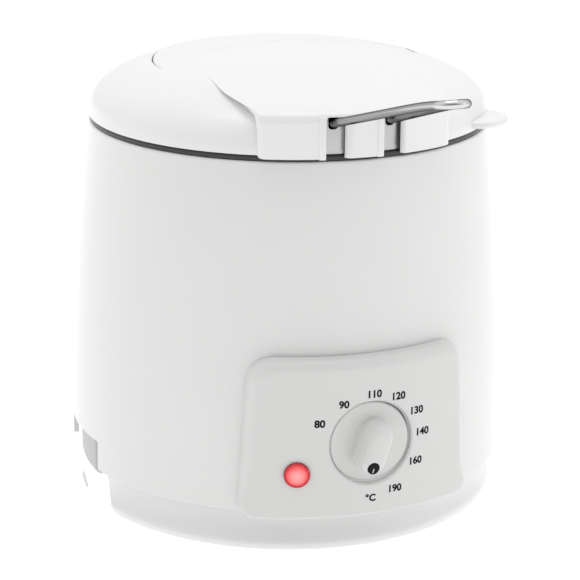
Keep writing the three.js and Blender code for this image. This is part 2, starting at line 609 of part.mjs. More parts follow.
function lidTab() {
  const { angle, reach, width, t, lift } = tab;
  const r = width / 2;
  const shape = new THREE.Shape();
  shape.moveTo(-r, -(lidR - 4));
  shape.absellipse(0, -(lidR - 2), r, reach + 2, Math.PI, Math.PI * 2);
  shape.lineTo(r, -(lidR - 4));
  return swing(prism(shape, lidZ + lift, lidZ + lift + t, 12), angle);
}

function lidShell() {
  const floorBelow = vent.recess + vent.cover;
  let outer = domeSolid(0, lidZ).add(lobeSolid(0, lidZ - lobe.drop)).add(lidTab());
  outer = outer.subtract(ventBlock(0).subtract(domeSolid(vent.recess, housing.topZ)));
  const thickFloor = ventBlock(vent.cover).subtract(domeSolid(floorBelow, housing.topZ));
  let cavity = domeSolid(lid.wall, lidZ - 5).subtract(thickFloor).add(lobeSolid(lobe.wall, lidZ - 5));
  const postZ = baffleZ + baffle.t + GAP;
  for (const angle of baffle.posts) {
    cavity = cavity.subtract(swing(disc(baffle.postR, 0, -baffle.postRing, postZ, FAR), angle));
  }
  let shell = outer.subtract(cavity);
  shell = shell.subtract(disc(lobeR - lobe.wall, 0, 0, lidZ - 5, lidZ, ROUND)); // room for the bowl's flange
  for (const side of [-1, 1]) {
    const x = side * hairpin.half;
    const [left, right] = [x - slot.width / 2, x + slot.width / 2];
    shell = shell.subtract(box(left, right, -FAR, slot.depth - lobeR, housing.topZ - 5, slotTopZ));
  }
  for (let i = 0; i < vent.slots; i += 1) {
    const y = vent.slotY + i * 2 * vent.slotWidth;
    shell = shell.subtract(box(-vent.slotHalf, vent.slotHalf, y, y + vent.slotWidth, lidZ, FAR));
  }
  for (const angle of baffle.posts) {
    const pilot = disc(screw.r + GAP, 0, -baffle.postRing, baffleZ, postZ + baffle.pilotDepth, 10);
    shell = shell.subtract(swing(pilot, angle));
  }
  return piece('lid_shell', shell, whiteGloss);
}

function ventCover() {
  const crown = domeSolid(0, housing.topZ - 30);
  const under = domeSolid(vent.cover, housing.topZ - 31);
  const tilt = (body) => {
    const hinge = [0, -vent.frontY, -domeZ(-vent.frontY)];
    return body.translate(hinge).rotate([vent.tilt, 0, 0]).translate(hinge.map((v) => -v));
  };
  const shape = tilt(crown).subtract(tilt(under)).intersect(ventBlock(-2 * GAP, lidZ));
  return piece('vent_cover', shape, whiteGloss);
}

function lidInnards() {
  const { r, t, holes, holeR, holeRing, postRing } = baffle;
  const z = baffleZ;
  const drill = (body, radius, ring, angle) =>
    body.subtract(swing(disc(radius, 0, -ring, z - 1, z + t + 1, 10), angle));
  let plate = disc(r, 0, 0, z, z + t, 30);
  for (let i = 0; i < holes; i += 1) plate = drill(plate, holeR, holeRing, i * (360 / holes));
  const screws = baffle.posts.map((angle, i) => {
    plate = drill(plate, screw.r + GAP, postRing, angle);
    const fastener = disc(screw.headR, 0, -postRing, z - GAP - screw.headH, z - GAP)
      .add(disc(screw.r, 0, -postRing, z - GAP - 0.2, z + t + baffle.pilotDepth - 1, 10));
    return piece(`baffle_screw_${i + 1}`, swing(fastener, angle), steel);
  });
  const pad = disc(filter.r, 0, 0, z + t + GAP, z + t + GAP + filter.h, 32)
    .intersect(box(-filter.r, filter.r, filter.frontY, filter.r, z, FAR));
  const sealR = lidR - lid.wall - 3 * GAP;
  const ring = sector(sealR - seal.width, sealR, seal.gapAngle, 360 - seal.gapAngle, lidZ, lidZ + seal.h);
  return [
    piece('lid_baffle', plate, aluminium), piece('steam_filter', pad, foam),
    piece('lid_seal', ring, silicone), ...screws,
  ];
}

// ---------------------------------------------------------------- basket and handle
function basketParts() {
  const { wall, corner } = basket;
  const [foot0, rim, low, top] = [basketFootR, basketRimR, basketFloorZ, basketTopZ];
  const bucket = turned([[0, low], [foot0 - corner, low], [foot0, low + corner], [rim, top],
    [rim - wall, top], [foot0 - wall, low + corner + 0.5], [foot0 - corner - 0.5, low + wall],
    [0, low + wall]], 30);
  const z = top + GAP + rimWire.r;
  const section = Array.from({ length: 6 }, (_, i) => {
    const a = (Math.PI / 3) * i;
    return [rim + rimWire.out + rimWire.r * Math.cos(a), z + rimWire.r * Math.sin(a)];
  });
  const { half, rise, t, clearance } = drainRest;
  const restZ = low + rise;
  const sideR = foot0 + ((rim - foot0) * rise) / (top - low) + 3 * GAP;
  const bowlSide = (mouthR - floorR) / (flangeTopZ - bowlFloorZ);
  const reachR = floorR + bowlSide * (restZ - bowlFloorZ) - clearance;
  const ledge = sector(sideR, reachR, -half, half, restZ, restZ + t);
  return [
    piece('basket', bucket, chrome),
    piece('basket_rim_wire', turned(section, 30), chrome),
    piece('drain_rest', ledge, chrome),
  ];
}

function handleBracket() {
  const { t, half, tabHalf, tabDrop, tabGap, guardHalf, guardH } = bracket;
  const guardTopZ = lidZ + guardH;
  const [backY, frontY] = [pivotY + ear.back, pivotY - ear.front];
  const tabY = pivotY + tabGap;
  let body = sector(guardR - t, guardR, -guardHalf, guardHalf, lidZ, guardTopZ);
  body = body.add(box(-half, half, 2 * t - guardR, backY, lidZ, lidZ + t));
  body = body.add(box(-tabHalf, tabHalf, tabY, tabY + t, lidZ - tabDrop, lidZ + t / 2));
  const notchZ = wireZ(t - guardR) - wire.r - 2 * GAP;
  for (const side of [-1, 1]) {
    const [inner, outer] = [side * (half - ear.t), side * half].sort((a, b) => a - b);
    body = body.add(box(inner, outer, frontY, backY, lidZ + t / 2, pivotZ + wire.r + ear.topGap));
    const x = side * hairpin.half;
    const notch = box(x - wire.r - GAP, x + wire.r + GAP, -guardR - 2, 3 * t - guardR, notchZ, FAR);
    body = body.subtract(notch);
  }
  const pinHole = solid(new THREE.CylinderGeometry(wire.r + GAP, wire.r + GAP, 2 * hairpin.pinEnd, SMALL)
    .rotateZ(Math.PI / 2).translate(0, pivotY, pivotZ));
  return piece('handle_bracket', body.subtract(pinHole), steel);
}

/** Wire bent from one sprung pin end, out along one leg, round the tip and back to the other pin end. */
function basketHandle() {
  const { half, tipHalf, pinEnd, bend } = hairpin;
  const tipStartY = tipY + tipHalf;
  const spread = (y) => half + ((tipHalf - half) * Math.max(0, slotY - y)) / (slotY - tipStartY);
  const at = (side, y) => [side * spread(y), y, wireZ(y)];
  const legYs = [pivotY - bend, (pivotY + slotY) / 2, slotY, slotY - 24, slotY - 49, kneeY + 12, kneeY,
    kneeY - 5, tipStartY];
  const cornerY = pivotY - bend * 0.35;
  const side = (s) => [[s * pinEnd, pivotY, pivotZ], [s * (half + bend), pivotY, pivotZ],
    [s * (half + bend * 0.3), cornerY, wireZ(cornerY)], ...legYs.map((y) => at(s, y))];
  const turn = [150, 120, 90, 60, 30].map((a) => {
    const y = tipStartY - tipHalf * Math.sin(rad(a));
    return [tipHalf * Math.cos(rad(a)), y, wireZ(y)];
  });
  const route = [...side(-1), ...turn, ...side(1).reverse()];
  return piece('basket_handle', tube(through(route), wire.r, 54), chrome);
}

// ---------------------------------------------------------------- assembly
const fryer = new THREE.Group();
fryer.add(
  outerHousing(), basePan(), ...feetAndBaseScrews(), controlPanel(),
  controlKnob(), knobPointer(), thermostatShaft(), ...thermostatParts(), ...neonParts(),
  oilBowl(), heatingElement(), ...heaterStack(), ...supportBridge(), ...sensor(),
  ...cordOutlet(), terminalBlock(),
  lidShell(), ventCover(), ...lidInnards(),
  ...basketParts(), handleBracket(), basketHandle(),
);

export default fryer;
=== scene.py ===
"""Mini deep fryer: the visual model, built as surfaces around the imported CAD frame.

Every piece is a surface worked out with numpy, in millimetres, and stored in metres in the frame's own axes:
+Z up along the barrel, -Y out of the control panel. Angles round the barrel are counted from the front, so the
point at radius r and angle a is (r sin a, -r cos a).
"""

import logging
import math
from dataclasses import dataclass, field
from enum import Enum
from typing import Callable, Sequence

import bmesh
import bpy
import numpy as np
from mathutils import Matrix, Vector


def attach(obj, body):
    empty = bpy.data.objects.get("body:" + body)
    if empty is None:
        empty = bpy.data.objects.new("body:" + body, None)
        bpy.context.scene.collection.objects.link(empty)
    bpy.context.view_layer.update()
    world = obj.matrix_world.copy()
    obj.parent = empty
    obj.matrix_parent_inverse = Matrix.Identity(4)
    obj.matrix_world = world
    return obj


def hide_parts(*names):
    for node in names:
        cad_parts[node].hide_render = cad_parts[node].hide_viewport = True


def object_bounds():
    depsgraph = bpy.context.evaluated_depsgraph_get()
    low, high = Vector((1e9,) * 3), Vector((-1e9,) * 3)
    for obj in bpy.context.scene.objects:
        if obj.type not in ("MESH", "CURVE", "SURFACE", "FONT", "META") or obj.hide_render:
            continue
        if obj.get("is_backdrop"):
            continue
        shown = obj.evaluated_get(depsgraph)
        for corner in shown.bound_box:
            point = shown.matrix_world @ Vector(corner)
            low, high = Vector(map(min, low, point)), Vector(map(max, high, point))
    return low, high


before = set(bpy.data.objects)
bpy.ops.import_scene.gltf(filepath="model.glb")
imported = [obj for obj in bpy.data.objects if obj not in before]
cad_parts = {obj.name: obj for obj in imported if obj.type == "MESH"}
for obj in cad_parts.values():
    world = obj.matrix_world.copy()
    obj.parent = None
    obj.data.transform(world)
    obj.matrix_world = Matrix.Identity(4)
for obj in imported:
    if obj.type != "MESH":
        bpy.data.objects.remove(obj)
CAD_LOW, CAD_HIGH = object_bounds()

logging.basicConfig(level=logging.INFO, format="%(message)s")
log = logging.getLogger("fryer")

MM = 0.001
LEG_X = 13.4  # from the middle to the handle's legs, the bracket's notches and the lid's slots
DIAL_Z = 54.8  # height of the dial's axis
Array = np.ndarray


class Body(Enum):
    """The moving bodies that pieces ride on."""

    BASE = "base"
    DIAL = "dial"
    BASKET = "basket"
    HANDLE = "handle"
    LID = "lid"


class Cut(Enum):
    """How one solid changes another."""

    ADD = "UNION"
    TAKE = "DIFFERENCE"


# ------------------------------------------------------------------------------------------ shader maths
class Socket:
    """A shader value: arithmetic on it adds Math nodes, and numbers stay numbers until they meet it."""

    def __init__(self, tree: bpy.types.NodeTree, output: bpy.types.NodeSocket) -> None:
        """Wraps an output socket of a node tree."""
        self.tree = tree
        self.output = output

    def math(self, operation: str, *others: "Socket | float", first: bool = True) -> "Socket":
        """A Math node on this value and others.

        Args:
            operation: the Math node's operation.
            others: further inputs, as values or links.
            first: whether this value is the first input, rather than the second.

        Returns:
            The node's value.
        """
        node = self.tree.nodes.new("ShaderNodeMath")
        node.operation = operation
        inputs = [self, *others] if first else [*others, self]
        for place, value in enumerate(inputs):
            plug(self.tree, node.inputs[place], value)
        return Socket(self.tree, node.outputs[0])

    def __add__(self, other: "Socket | float") -> "Socket":
        """Sum."""
        return self.math("ADD", other)

    __radd__ = __add__

    def __sub__(self, other: "Socket | float") -> "Socket":
        """Difference."""
        return self.math("SUBTRACT", other)

    def __rsub__(self, other: "Socket | float") -> "Socket":
        """Difference, with this value taken away."""
        return self.math("SUBTRACT", other, first=False)

    def __mul__(self, other: "Socket | float") -> "Socket":
        """Product."""
        return self.math("MULTIPLY", other)

    __rmul__ = __mul__

    def __truediv__(self, other: "Socket | float") -> "Socket":
        """Quotient."""
        return self.math("DIVIDE", other)

    def __rtruediv__(self, other: "Socket | float") -> "Socket":
        """Quotient, with this value below."""
        return self.math("DIVIDE", other, first=False)

    def __pow__(self, other: "Socket | float") -> "Socket":
        """Power."""
        return self.math("POWER", other)


def plug(tree: bpy.types.NodeTree, target: bpy.types.NodeSocket, value: object) -> None:
    """Sets an input socket to a number or colour, or links a value to it."""
    if isinstance(value, Socket):
        tree.links.new(value.output, target)
    else:
        target.default_value = value


class Nodes:
    """A node tree, with one method that adds any node."""

    def __init__(self, tree: bpy.types.NodeTree) -> None:
        """Takes a tree to add nodes to."""
        self.tree = tree

    def node(self, kind: str, settings: dict | None = None, outlet: int | str = 0, **values: object) -> Socket:
        """Adds a node.

        Args:
            kind: the node's type without its ShaderNode prefix.
            settings: attributes set first, or "stops" for a colour ramp as (place, colour) pairs.
            outlet: which output is returned.
            values: input values or links, by socket name with _ for a space, or i0, i1 for a place.

        Returns:
            The chosen output.
        """
        node = self.tree.nodes.new("ShaderNode" + kind)
        for key, value in (settings or {}).items():
            if key == "stops":
                ramp = node.color_ramp.elements
                while len(ramp) < len(value):
                    ramp.new(1.0)
                for stop, (place, colour) in zip(ramp, value):
                    stop.position, stop.color = place, colour
            else:
                setattr(node, key, value)
        for key, value in values.items():
            where = int(key[1:]) if key[0] == "i" and key[1:].isdigit() else key.replace("_", " ")
            plug(self.tree, node.inputs[where], value)
        return Socket(self.tree, node.outputs[outlet])


class Recipe(Nodes):
    """A material's node tree, with the patterns that the finishes share."""

    def __init__(self, name: str) -> None:
        """Starts an empty material with its output node."""
        self.material = bpy.data.materials.new(name)
        self.material.use_nodes = True
        super().__init__(self.material.node_tree)
        self.tree.nodes.clear()
        self.out = self.tree.nodes.new("ShaderNodeOutputMaterial")

    def place(self) -> Socket:
        """The point on the object, in metres."""
        return self.node("TexCoord", outlet="Object")

    def noise(self, scale: float, detail: float = 3.0, stretch: tuple = (1.0, 1.0, 1.0)) -> Socket:
        """Noise between 0 and 1.

        Args:
            scale: cells per metre.
            detail: octaves.
            stretch: how much finer the pattern is along each axis.

        Returns:
            The noise value.
        """
        where = self.node("Mapping", Vector=self.place(), Scale=stretch)
        return self.node("TexNoise", Vector=where, Scale=scale, Detail=detail)

    def tint(self, share: Socket, low: Sequence[float], high: Sequence[float]) -> Socket:
        """A colour between two, by a share."""
        return self.node("Mix", {"data_type": "RGBA"}, outlet=2, i0=share, i6=(*low, 1.0), i7=(*high, 1.0))

    def bump(self, height: Socket, strength: float, depth: float) -> Socket:
        """A normal bent by a height.

        Args:
            height: the height pattern, 0 to 1.
            strength: how far the normal follows it.
            depth: the height's real size, in metres.

        Returns:
            The bent normal.
        """
        return self.node("Bump", Strength=strength, Distance=depth, Height=height)

    def surface(self, **values: object) -> bpy.types.Material:
        """Ends the material in a Principled shader with these inputs, and returns it."""
        shader = self.node("BsdfPrincipled", **values)
        self.tree.links.new(shader.output, self.out.inputs["Surface"])
        return self.material


# ------------------------------------------------------------------------------------------ finishes
@dataclass(frozen=True)
class MouldedPlastic:
    """Injection-moulded plastic: a faint cloudiness, a fine flow texture and a soft gloss."""

    name: str
    colour: tuple[float, float, float]
    roughness: float = 0.3
    coat: float = 0.25
    grain: float = 0.12
    shine: float = 0.5

    def make(self) -> bpy.types.Material:
        """Builds the material and returns it."""
        r = Recipe(self.name)
        cloud = r.noise(28.0, 4.0)
        grain = r.noise(2600.0, 2.0)
        swell = r.noise(90.0, 2.0)
        dark = tuple(c * 0.965 for c in self.colour)
        colour = r.tint(cloud, dark, self.colour)
        rough = self.roughness - 0.03 + 0.06 * cloud + 0.03 * grain
        normal = r.bump(0.35 * grain + 0.65 * swell, self.grain, 0.00012)
        return r.surface(Base_Color=colour, Roughness=rough, Normal=normal, Specular_IOR_Level=self.shine,
                         Coat_Weight=self.coat, Coat_Roughness=0.08)


@dataclass(frozen=True)
class Metal:
    """Drawn, rolled or plated metal: fine lines along one axis, a few duller patches and an edge tint of painted
    shade.
    """

    name: str
    colour: tuple[float, float, float]
    roughness: float
    lines: tuple[float, float, float] = (1.0, 1.0, 1.0)
    line_scale: float = 900.0
    depth: float = 0.00004
    painted_edge_shade: float = 1.0

    def make(self) -> bpy.types.Material:
        """Builds the material and returns it."""
        r = Recipe(self.name)
        lines = r.noise(self.line_scale, 3.0, self.lines)
        patches = r.noise(45.0, 4.0)
        low = tuple(c * 0.86 for c in self.colour)
        colour = r.tint(patches, low, self.colour)
        rough = self.roughness * (0.8 + 0.25 * lines + 0.25 * patches)
        # painted shade: an edge tint below 1 darkens the reflection at glancing angles, standing in for dark
        # reflections along the outline
        edge = (self.painted_edge_shade, self.painted_edge_shade, self.painted_edge_shade, 1.0)
        return r.surface(Base_Color=colour, Roughness=rough, Metallic=1.0, Specular_Tint=edge,
                         Normal=r.bump(lines, 0.3, self.depth))


@dataclass(frozen=True)
class SoftMatt:
    """Rubber, silicone, foam or phenolic: a dull surface with a fine pitted texture."""

    name: str
    colour: tuple[float, float, float]
    roughness: float = 0.7
    cells: float = 1400.0
    depth: float = 0.0001

    def make(self) -> bpy.types.Material:
        """Builds the material and returns it."""
        r = Recipe(self.name)
        pits = r.node("TexVoronoi", Vector=r.place(), Scale=self.cells)
        dust = r.noise(60.0, 5.0)
        high = tuple(min(1.0, c * 1.35 + 0.01) for c in self.colour)
        rough = self.roughness - 0.08 + 0.16 * dust
        return r.surface(Base_Color=r.tint(dust, self.colour, high), Roughness=rough,
                         Normal=r.bump(pits, 0.45, self.depth))


@dataclass(frozen=True)
class NonStick:
    """Dark non-stick coating with fine light speckles and a satin sheen."""

    name: str
    colour: tuple[float, float, float]

    def make(self) -> bpy.types.Material:
        """Builds the material and returns it."""
        r = Recipe(self.name)
        cell = r.node("TexVoronoi", Vector=r.place(), Scale=700.0)
        speck = cell.math("LESS_THAN", 0.13)
        cloud = r.noise(50.0, 4.0)
        light = tuple(c * 2.2 + 0.02 for c in self.colour)
        colour = r.tint(speck * cloud, self.colour, light)
        return r.surface(Base_Color=colour, Roughness=0.34 + 0.14 * cloud, Coat_Weight=0.15,
                         Normal=r.bump(cell, 0.2, 0.00005))


@dataclass(frozen=True)
class GlowingLens:
    """Red lens lit from behind: pale and bright at its middle, deep red at its rim, with moulded rings."""

    name: str
    centre: tuple[float, float, float]
    radius: float
    glow: float = 0.07

    def make(self) -> bpy.types.Material:
        """Builds the material and returns it."""
        r = Recipe(self.name)
        away = r.node("VectorMath", {"operation": "DISTANCE"}, outlet=1, i0=r.place(), i1=self.centre)
        out = away / self.radius
        flute = (out * 34.0).math("SINE")
        blotch = r.noise(900.0, 3.0)
        share = out + 0.16 * blotch - 0.08
        lit = r.node("ValToRGB", {"stops": [(0.0, (1.0, 0.42, 0.42, 1)), (0.4, (1.0, 0.30, 0.30, 1)),
                                            (0.7, (0.95, 0.12, 0.13, 1)), (0.86, (0.75, 0.04, 0.05, 1)),
                                            (1.0, (0.28, 0.0, 0.01, 1))]}, Fac=share)
        return r.surface(Base_Color=lit, Emission_Color=lit, Emission_Strength=self.glow,
                         Roughness=0.2 + 0.08 * blotch, Normal=r.bump(flute * 0.5 + 0.5, 0.3, 0.0002))


@dataclass(frozen=True)
class ClearGlass:
    """Thin lamp glass with a warm tint and faint ripples."""

    name: str

    def make(self) -> bpy.types.Material:
        """Builds the material and returns it."""
        r = Recipe(self.name)
        ripple = r.noise(300.0, 2.0)
        colour = r.tint(ripple, (0.95, 0.72, 0.55), (1.0, 0.85, 0.72))
        return r.surface(Base_Color=colour, Roughness=0.05 + 0.05 * ripple, Alpha=0.45 + 0.1 * ripple,
                         Normal=r.bump(ripple, 0.1, 0.0001))


class Finishes:
    """Every finish of the fryer, made once."""

    def __init__(self, lens_centre: tuple[float, float, float], lens_radius: float) -> None:
        """Builds the materials. The lens finish is centred on the lens."""
        self.white = MouldedPlastic("moulded_white", (0.765, 0.765, 0.758), 0.30, 0.3).make()
        self.lid_white = MouldedPlastic("moulded_white_lid", (0.83, 0.83, 0.828), 0.30).make()
        # painted light: the base's white is a lighter copy of the housing's, standing in for the light its upturned
        # flare catches
        self.base_white_painted_light = MouldedPlastic("moulded_white_base_painted_light", (0.86, 0.86, 0.855), 0.30).make()
        self.panel_white = MouldedPlastic("moulded_white_panel", (0.69, 0.69, 0.682), 0.38, 0.12).make()
        # painted shade: this dimmed white gives the outlet box the grey of the shade in the base's recess; the
        # terminal block inside wears it too
        self.satin_white_and_painted_shade = MouldedPlastic("satin_white_and_painted_shade", (0.52, 0.52, 0.515), 0.45, 0.0, 0.3).make()
        self.black = MouldedPlastic("black_plastic", (0.008, 0.008, 0.009), 0.5, 0.0, 0.3, 0.15).make()
        self.ink = MouldedPlastic("printed_ink", (0.008, 0.008, 0.010), 0.6, 0.0, 0.05, 0.1).make()
        # painted shade: the chrome's low edge tint darkens its outlines
        self.chrome = Metal("chrome_wire", (0.66, 0.66, 0.67), 0.09, line_scale=500.0, depth=0.00001,
                            painted_edge_shade=0.12).make()
        self.satin_steel = Metal("satin_steel", (0.52, 0.52, 0.52), 0.36, (1.0, 1.0, 0.04)).make()
        self.zinc = Metal("zinc_plate", (0.60, 0.61, 0.63), 0.38).make()
        self.sheath = Metal("heat_tinted_sheath", (0.32, 0.27, 0.22), 0.42).make()
        self.aluminium = Metal("pressed_aluminium", (0.76, 0.77, 0.78), 0.36, (1.0, 0.05, 1.0)).make()
        self.brass = Metal("turned_brass", (0.72, 0.52, 0.24), 0.28, (0.1, 1.0, 0.1)).make()
        self.non_stick = NonStick("non_stick_coating", (0.022, 0.022, 0.024)).make()
        self.rubber = SoftMatt("foot_rubber", (0.03, 0.03, 0.032)).make()
        self.silicone = SoftMatt("seal_silicone", (0.42, 0.42, 0.41), 0.55, 900.0, 0.00004).make()
        self.foam = SoftMatt("filter_foam", (0.02, 0.02, 0.019), 0.95, 420.0, 0.0008).make()
        self.phenolic = SoftMatt("phenolic_block", (0.07, 0.03, 0.016), 0.5, 1200.0, 0.00005).make()
        self.lens = GlowingLens("neon_lens_red", lens_centre, lens_radius).make()
        self.glass = ClearGlass("lamp_glass").make()


# ------------------------------------------------------------------------------------------ surfaces
def smoothstep(x: Array | float, low: float, high: float) -> Array:
    """A share that turns smoothly from 0 at low to 1 at high."""
    t = np.clip((np.asarray(x, float) - low) / (high - low), 0.0, 1.0)
    return t * t * (3.0 - 2.0 * t)


def polar(r: Array | float, angle: Array | float, z: Array | float) -> Array:
    """Points at radius r and angle (radians) round from the front: (r sin a, -r cos a, z)."""
    r, angle, z = np.broadcast_arrays(r, angle, z)
    return np.stack([r * np.sin(angle), -r * np.cos(angle), z], axis=-1)


def rounded(points: Sequence[Sequence[float]], closed: bool = False, steps: int = 6) -> Array:
    """A flat outline with its corners rounded, and short runs beside each arc to keep the shading flat.

    Each corner's arc touches both its sides at radius times tan(half the turn) from the corner. The arc is a
    circle sampled evenly by angle.

    Args:
        points: (u, v, radius) for each corner.
        closed: whether the last point joins the first.
        steps: pieces in each arc.

    Returns:
        The outline's points, as rows of (u, v).
    """
    corners = np.array([p[:2] for p in points], float)
    radii = [p[2] if len(p) > 2 else 0.0 for p in points]
    count = len(corners)
    rows: list[Array] = []
    for i, (corner, radius) in enumerate(zip(corners, radii)):
        if radius <= 0 or (not closed and i in (0, count - 1)):
            rows.append(corner[None])
            continue
        back = corners[i - 1] - corner
        ahead = corners[(i + 1) % count] - corner
        a, b = back / np.linalg.norm(back), ahead / np.linalg.norm(ahead)
        half = 0.5 * math.acos(float(np.clip(a @ b, -1.0, 1.0)))
        reach = radius / math.tan(half)
        centre = corner + (a + b) / np.linalg.norm(a + b) * (radius / math.sin(half))
        start, end = corner + a * reach - centre, corner + b * reach - centre
        turn = math.pi - 2.0 * half
        side = np.sign(start[0] * end[1] - start[1] * end[0]) or 1.0
        t = np.linspace(0.0, turn, steps + 1) * side
        arc = centre + np.stack([start[0] * np.cos(t) - start[1] * np.sin(t),
                                 start[0] * np.sin(t) + start[1] * np.cos(t)], axis=-1)
        support = 0.35 * radius
        before = corner + a * (reach + min(support, 0.3 * max(np.linalg.norm(back) - reach, 0.0)))
        after = corner + b * (reach + min(support, 0.3 * max(np.linalg.norm(ahead) - reach, 0.0)))
        rows += [before[None], arc, after[None]]
    return np.concatenate(rows)


def volume_of(points: Array, faces: Array) -> float:
    """Signed volume inside a closed mesh of quads: the sum of the pyramids from the origin."""
    a, b, c, d = (points[faces[:, i]] for i in range(4))
    return float(np.einsum("ij,ij->i", a, np.cross(b, c)).sum() + np.einsum("ij,ij->i", a, np.cross(c, d)).sum())


@dataclass
class Surface:
    """A mesh in millimetres, as points and quads. A quad with two equal corners is a triangle once welded."""

    points: Array
    faces: Array

    @staticmethod
    def grid(points: Array, wrap_rows: bool = False, wrap_columns: bool = False) -> "Surface":
        """Quads over a grid of points.

        Args:
            points: rows by columns by 3.
            wrap_rows: whether the last row joins the first.
            wrap_columns: whether the last column joins the first.

        Returns:
            The surface.
        """
        rows, columns = points.shape[:2]
        index = np.arange(rows * columns).reshape(rows, columns)
        if wrap_rows:
            index = np.concatenate([index, index[:1]])
        if wrap_columns:
            index = np.concatenate([index, index[:, :1]], axis=1)
        quads = np.stack([index[:-1, :-1], index[:-1, 1:], index[1:, 1:], index[1:, :-1]], axis=-1)
        return Surface(points.reshape(-1, 3), quads.reshape(-1, 4))

    @staticmethod
    def turned(profile: Array, columns: int = 160, closed: bool = False) -> "Surface":
        """A profile of (radius, z) carried round the Z axis. Points at radius 0 meet in a pole."""
        angle = np.linspace(0.0, 2.0 * math.pi, columns, endpoint=False)[None, :]
        points = polar(profile[:, 0][:, None], angle, profile[:, 1][:, None])
        return Surface.grid(points, wrap_rows=closed, wrap_columns=True)

    @staticmethod
    def rod(radius: float, low: float, high: float, columns: int) -> "Surface":
        """An upright round rod between two heights, the usual tool for a hole."""
        return Surface.turned(np.array([[0, low], [radius, low], [radius, high], [0, high]], float), columns)

    @staticmethod
    def arc(section: Array, angle: Array) -> "Surface":
        """A closed section of (radius, z) carried round part of a circle, with ends that meet in its middle.

        Args:
            section: the section's corners.
            angle: the directions of its places round the axis, in radians.

        Returns:
            The closed surface.
        """
        radius, height = section.mean(0)
        wall = polar(section[:, 0][:, None], angle[None], section[:, 1][:, None])
        caps = [np.repeat(polar(radius, angle[end], height)[None, None], len(section), 0) for end in (0, -1)]
        return Surface.grid(np.concatenate([caps[0], wall, caps[1]], axis=1), wrap_rows=True)

    @staticmethod
    def swept(path: Array, radius: Array | float, sides: int = 12, closed: bool = False) -> "Surface":
        """A round section carried along a path, with domed ends.

        At each point the section stands square to the path, on two directions that are turned along it as
        little as possible. An open path's ends close in a quarter circle of the section's own radius.

        Args:
            path: the points of the centre line.
            radius: the section's radius, one for all or one a point.
            sides: corners of the section.
            closed: whether the path joins its own start.

        Returns:
            The tube.
        """
        path = np.asarray(path, float)
        radius = np.broadcast_to(np.asarray(radius, float), len(path)).copy()
        if closed:
            tangent = np.roll(path, -1, 0) - np.roll(path, 1, 0)
        else:
            tangent = np.gradient(path, axis=0)
        tangent /= np.linalg.norm(tangent, axis=1)[:, None]
        if not closed:
            dome = np.radians([90.0, 67.0, 45.0, 22.0])
            lead = path[0] - tangent[0] * radius[0] * np.sin(dome)[:, None]
            tail = path[-1] + tangent[-1] * radius[-1] * np.sin(dome[::-1])[:, None]
            radius = np.concatenate([radius[0] * np.cos(dome), radius, radius[-1] * np.cos(dome[::-1])])
            path = np.concatenate([lead, path, tail])
            ends = len(dome)
            tangent = np.concatenate([np.repeat(tangent[:1], ends, 0), tangent, np.repeat(tangent[-1:], ends, 0)])
        first = np.cross(tangent[0], [0.0, 0.0, 1.0])
        if np.linalg.norm(first) < 0.1:
            first = np.cross(tangent[0], [0.0, 1.0, 0.0])
        across = [first / np.linalg.norm(first)]
        for t in tangent[1:]:  # each direction is the last one laid square to the new tangent
            step = across[-1] - t * (across[-1] @ t)
            across.append(step / np.linalg.norm(step))
        side = np.array(across)
        up = np.cross(tangent, side)
        if closed:  # spread the leftover twist evenly, so that the last ring meets the first
            twist = math.atan2(float(side[-1] @ up[0]), float(side[-1] @ side[0]))
            spread = np.linspace(0.0, -twist, len(path))[:, None]
            side, up = side * np.cos(spread) + up * np.sin(spread), up * np.cos(spread) - side * np.sin(spread)
        angle = np.linspace(0.0, 2.0 * math.pi, sides, endpoint=False)[None, :, None]
        ring = side[:, None] * np.cos(angle) + up[:, None] * np.sin(angle)
        points = path[:, None] + ring * radius[:, None, None]
        return Surface.grid(points, wrap_rows=closed, wrap_columns=True)

    def moved(self, x: float = 0.0, y: float = 0.0, z: float = 0.0) -> "Surface":
        """This surface shifted by a distance."""
        return Surface(self.points + np.array([x, y, z]), self.faces)

    def swung(self, degrees: float, axis: str = "Z") -> "Surface":
        """This surface turned about an axis of the frame."""
        turn = np.array(Matrix.Rotation(math.radians(degrees), 3, axis))
        return Surface(self.points @ turn.T, self.faces)

    def mapped(self, change: Callable[[Array], Array]) -> "Surface":
        """This surface with its points changed by a function of all of them."""
        return Surface(change(self.points), self.faces)

    def facing_out(self) -> "Surface":
        """This closed surface with its faces pointing outwards."""
        return Surface(self.points, self.faces[:, ::-1]) if volume_of(self.points, self.faces) < 0 else self

    @staticmethod
    def joined(parts: Sequence["Surface"]) -> "Surface":
        """Several surfaces as one."""
        starts = np.cumsum([0] + [len(p.points) for p in parts[:-1]])
        return Surface(np.concatenate([p.points for p in parts]),
                       np.concatenate([p.faces + s for p, s in zip(parts, starts)]))

    def mesh(self, name: str) -> bpy.types.Mesh:
        """A Blender mesh in metres, with doubles merged so that poles and seams close."""
        solid = self.facing_out()
        mesh = bpy.data.meshes.new(name)
        mesh.vertices.add(len(solid.points))
        mesh.vertices.foreach_set("co", (solid.points * MM).astype(np.float32).ravel())
        mesh.loops.add(len(solid.faces) * 4)
        mesh.loops.foreach_set("vertex_index", solid.faces.astype(np.int32).ravel())
        mesh.polygons.add(len(solid.faces))
        mesh.polygons.foreach_set("loop_start", np.arange(0, len(solid.faces) * 4, 4, dtype=np.int32))
        mesh.update(calc_edges=True)
        weld(mesh)
        return mesh


def weld(mesh: bpy.types.Mesh, distance: float = 2e-6) -> None:
    """Merges a mesh's doubled points, which turns quads at a pole into triangles."""
    work = bmesh.new()
    work.from_mesh(mesh)
    bmesh.ops.remove_doubles(work, verts=work.verts, dist=distance)
    bmesh.ops.dissolve_degenerate(work, edges=work.edges, dist=distance * 0.5)
    work.to_mesh(mesh)
    work.free()
    mesh.update()


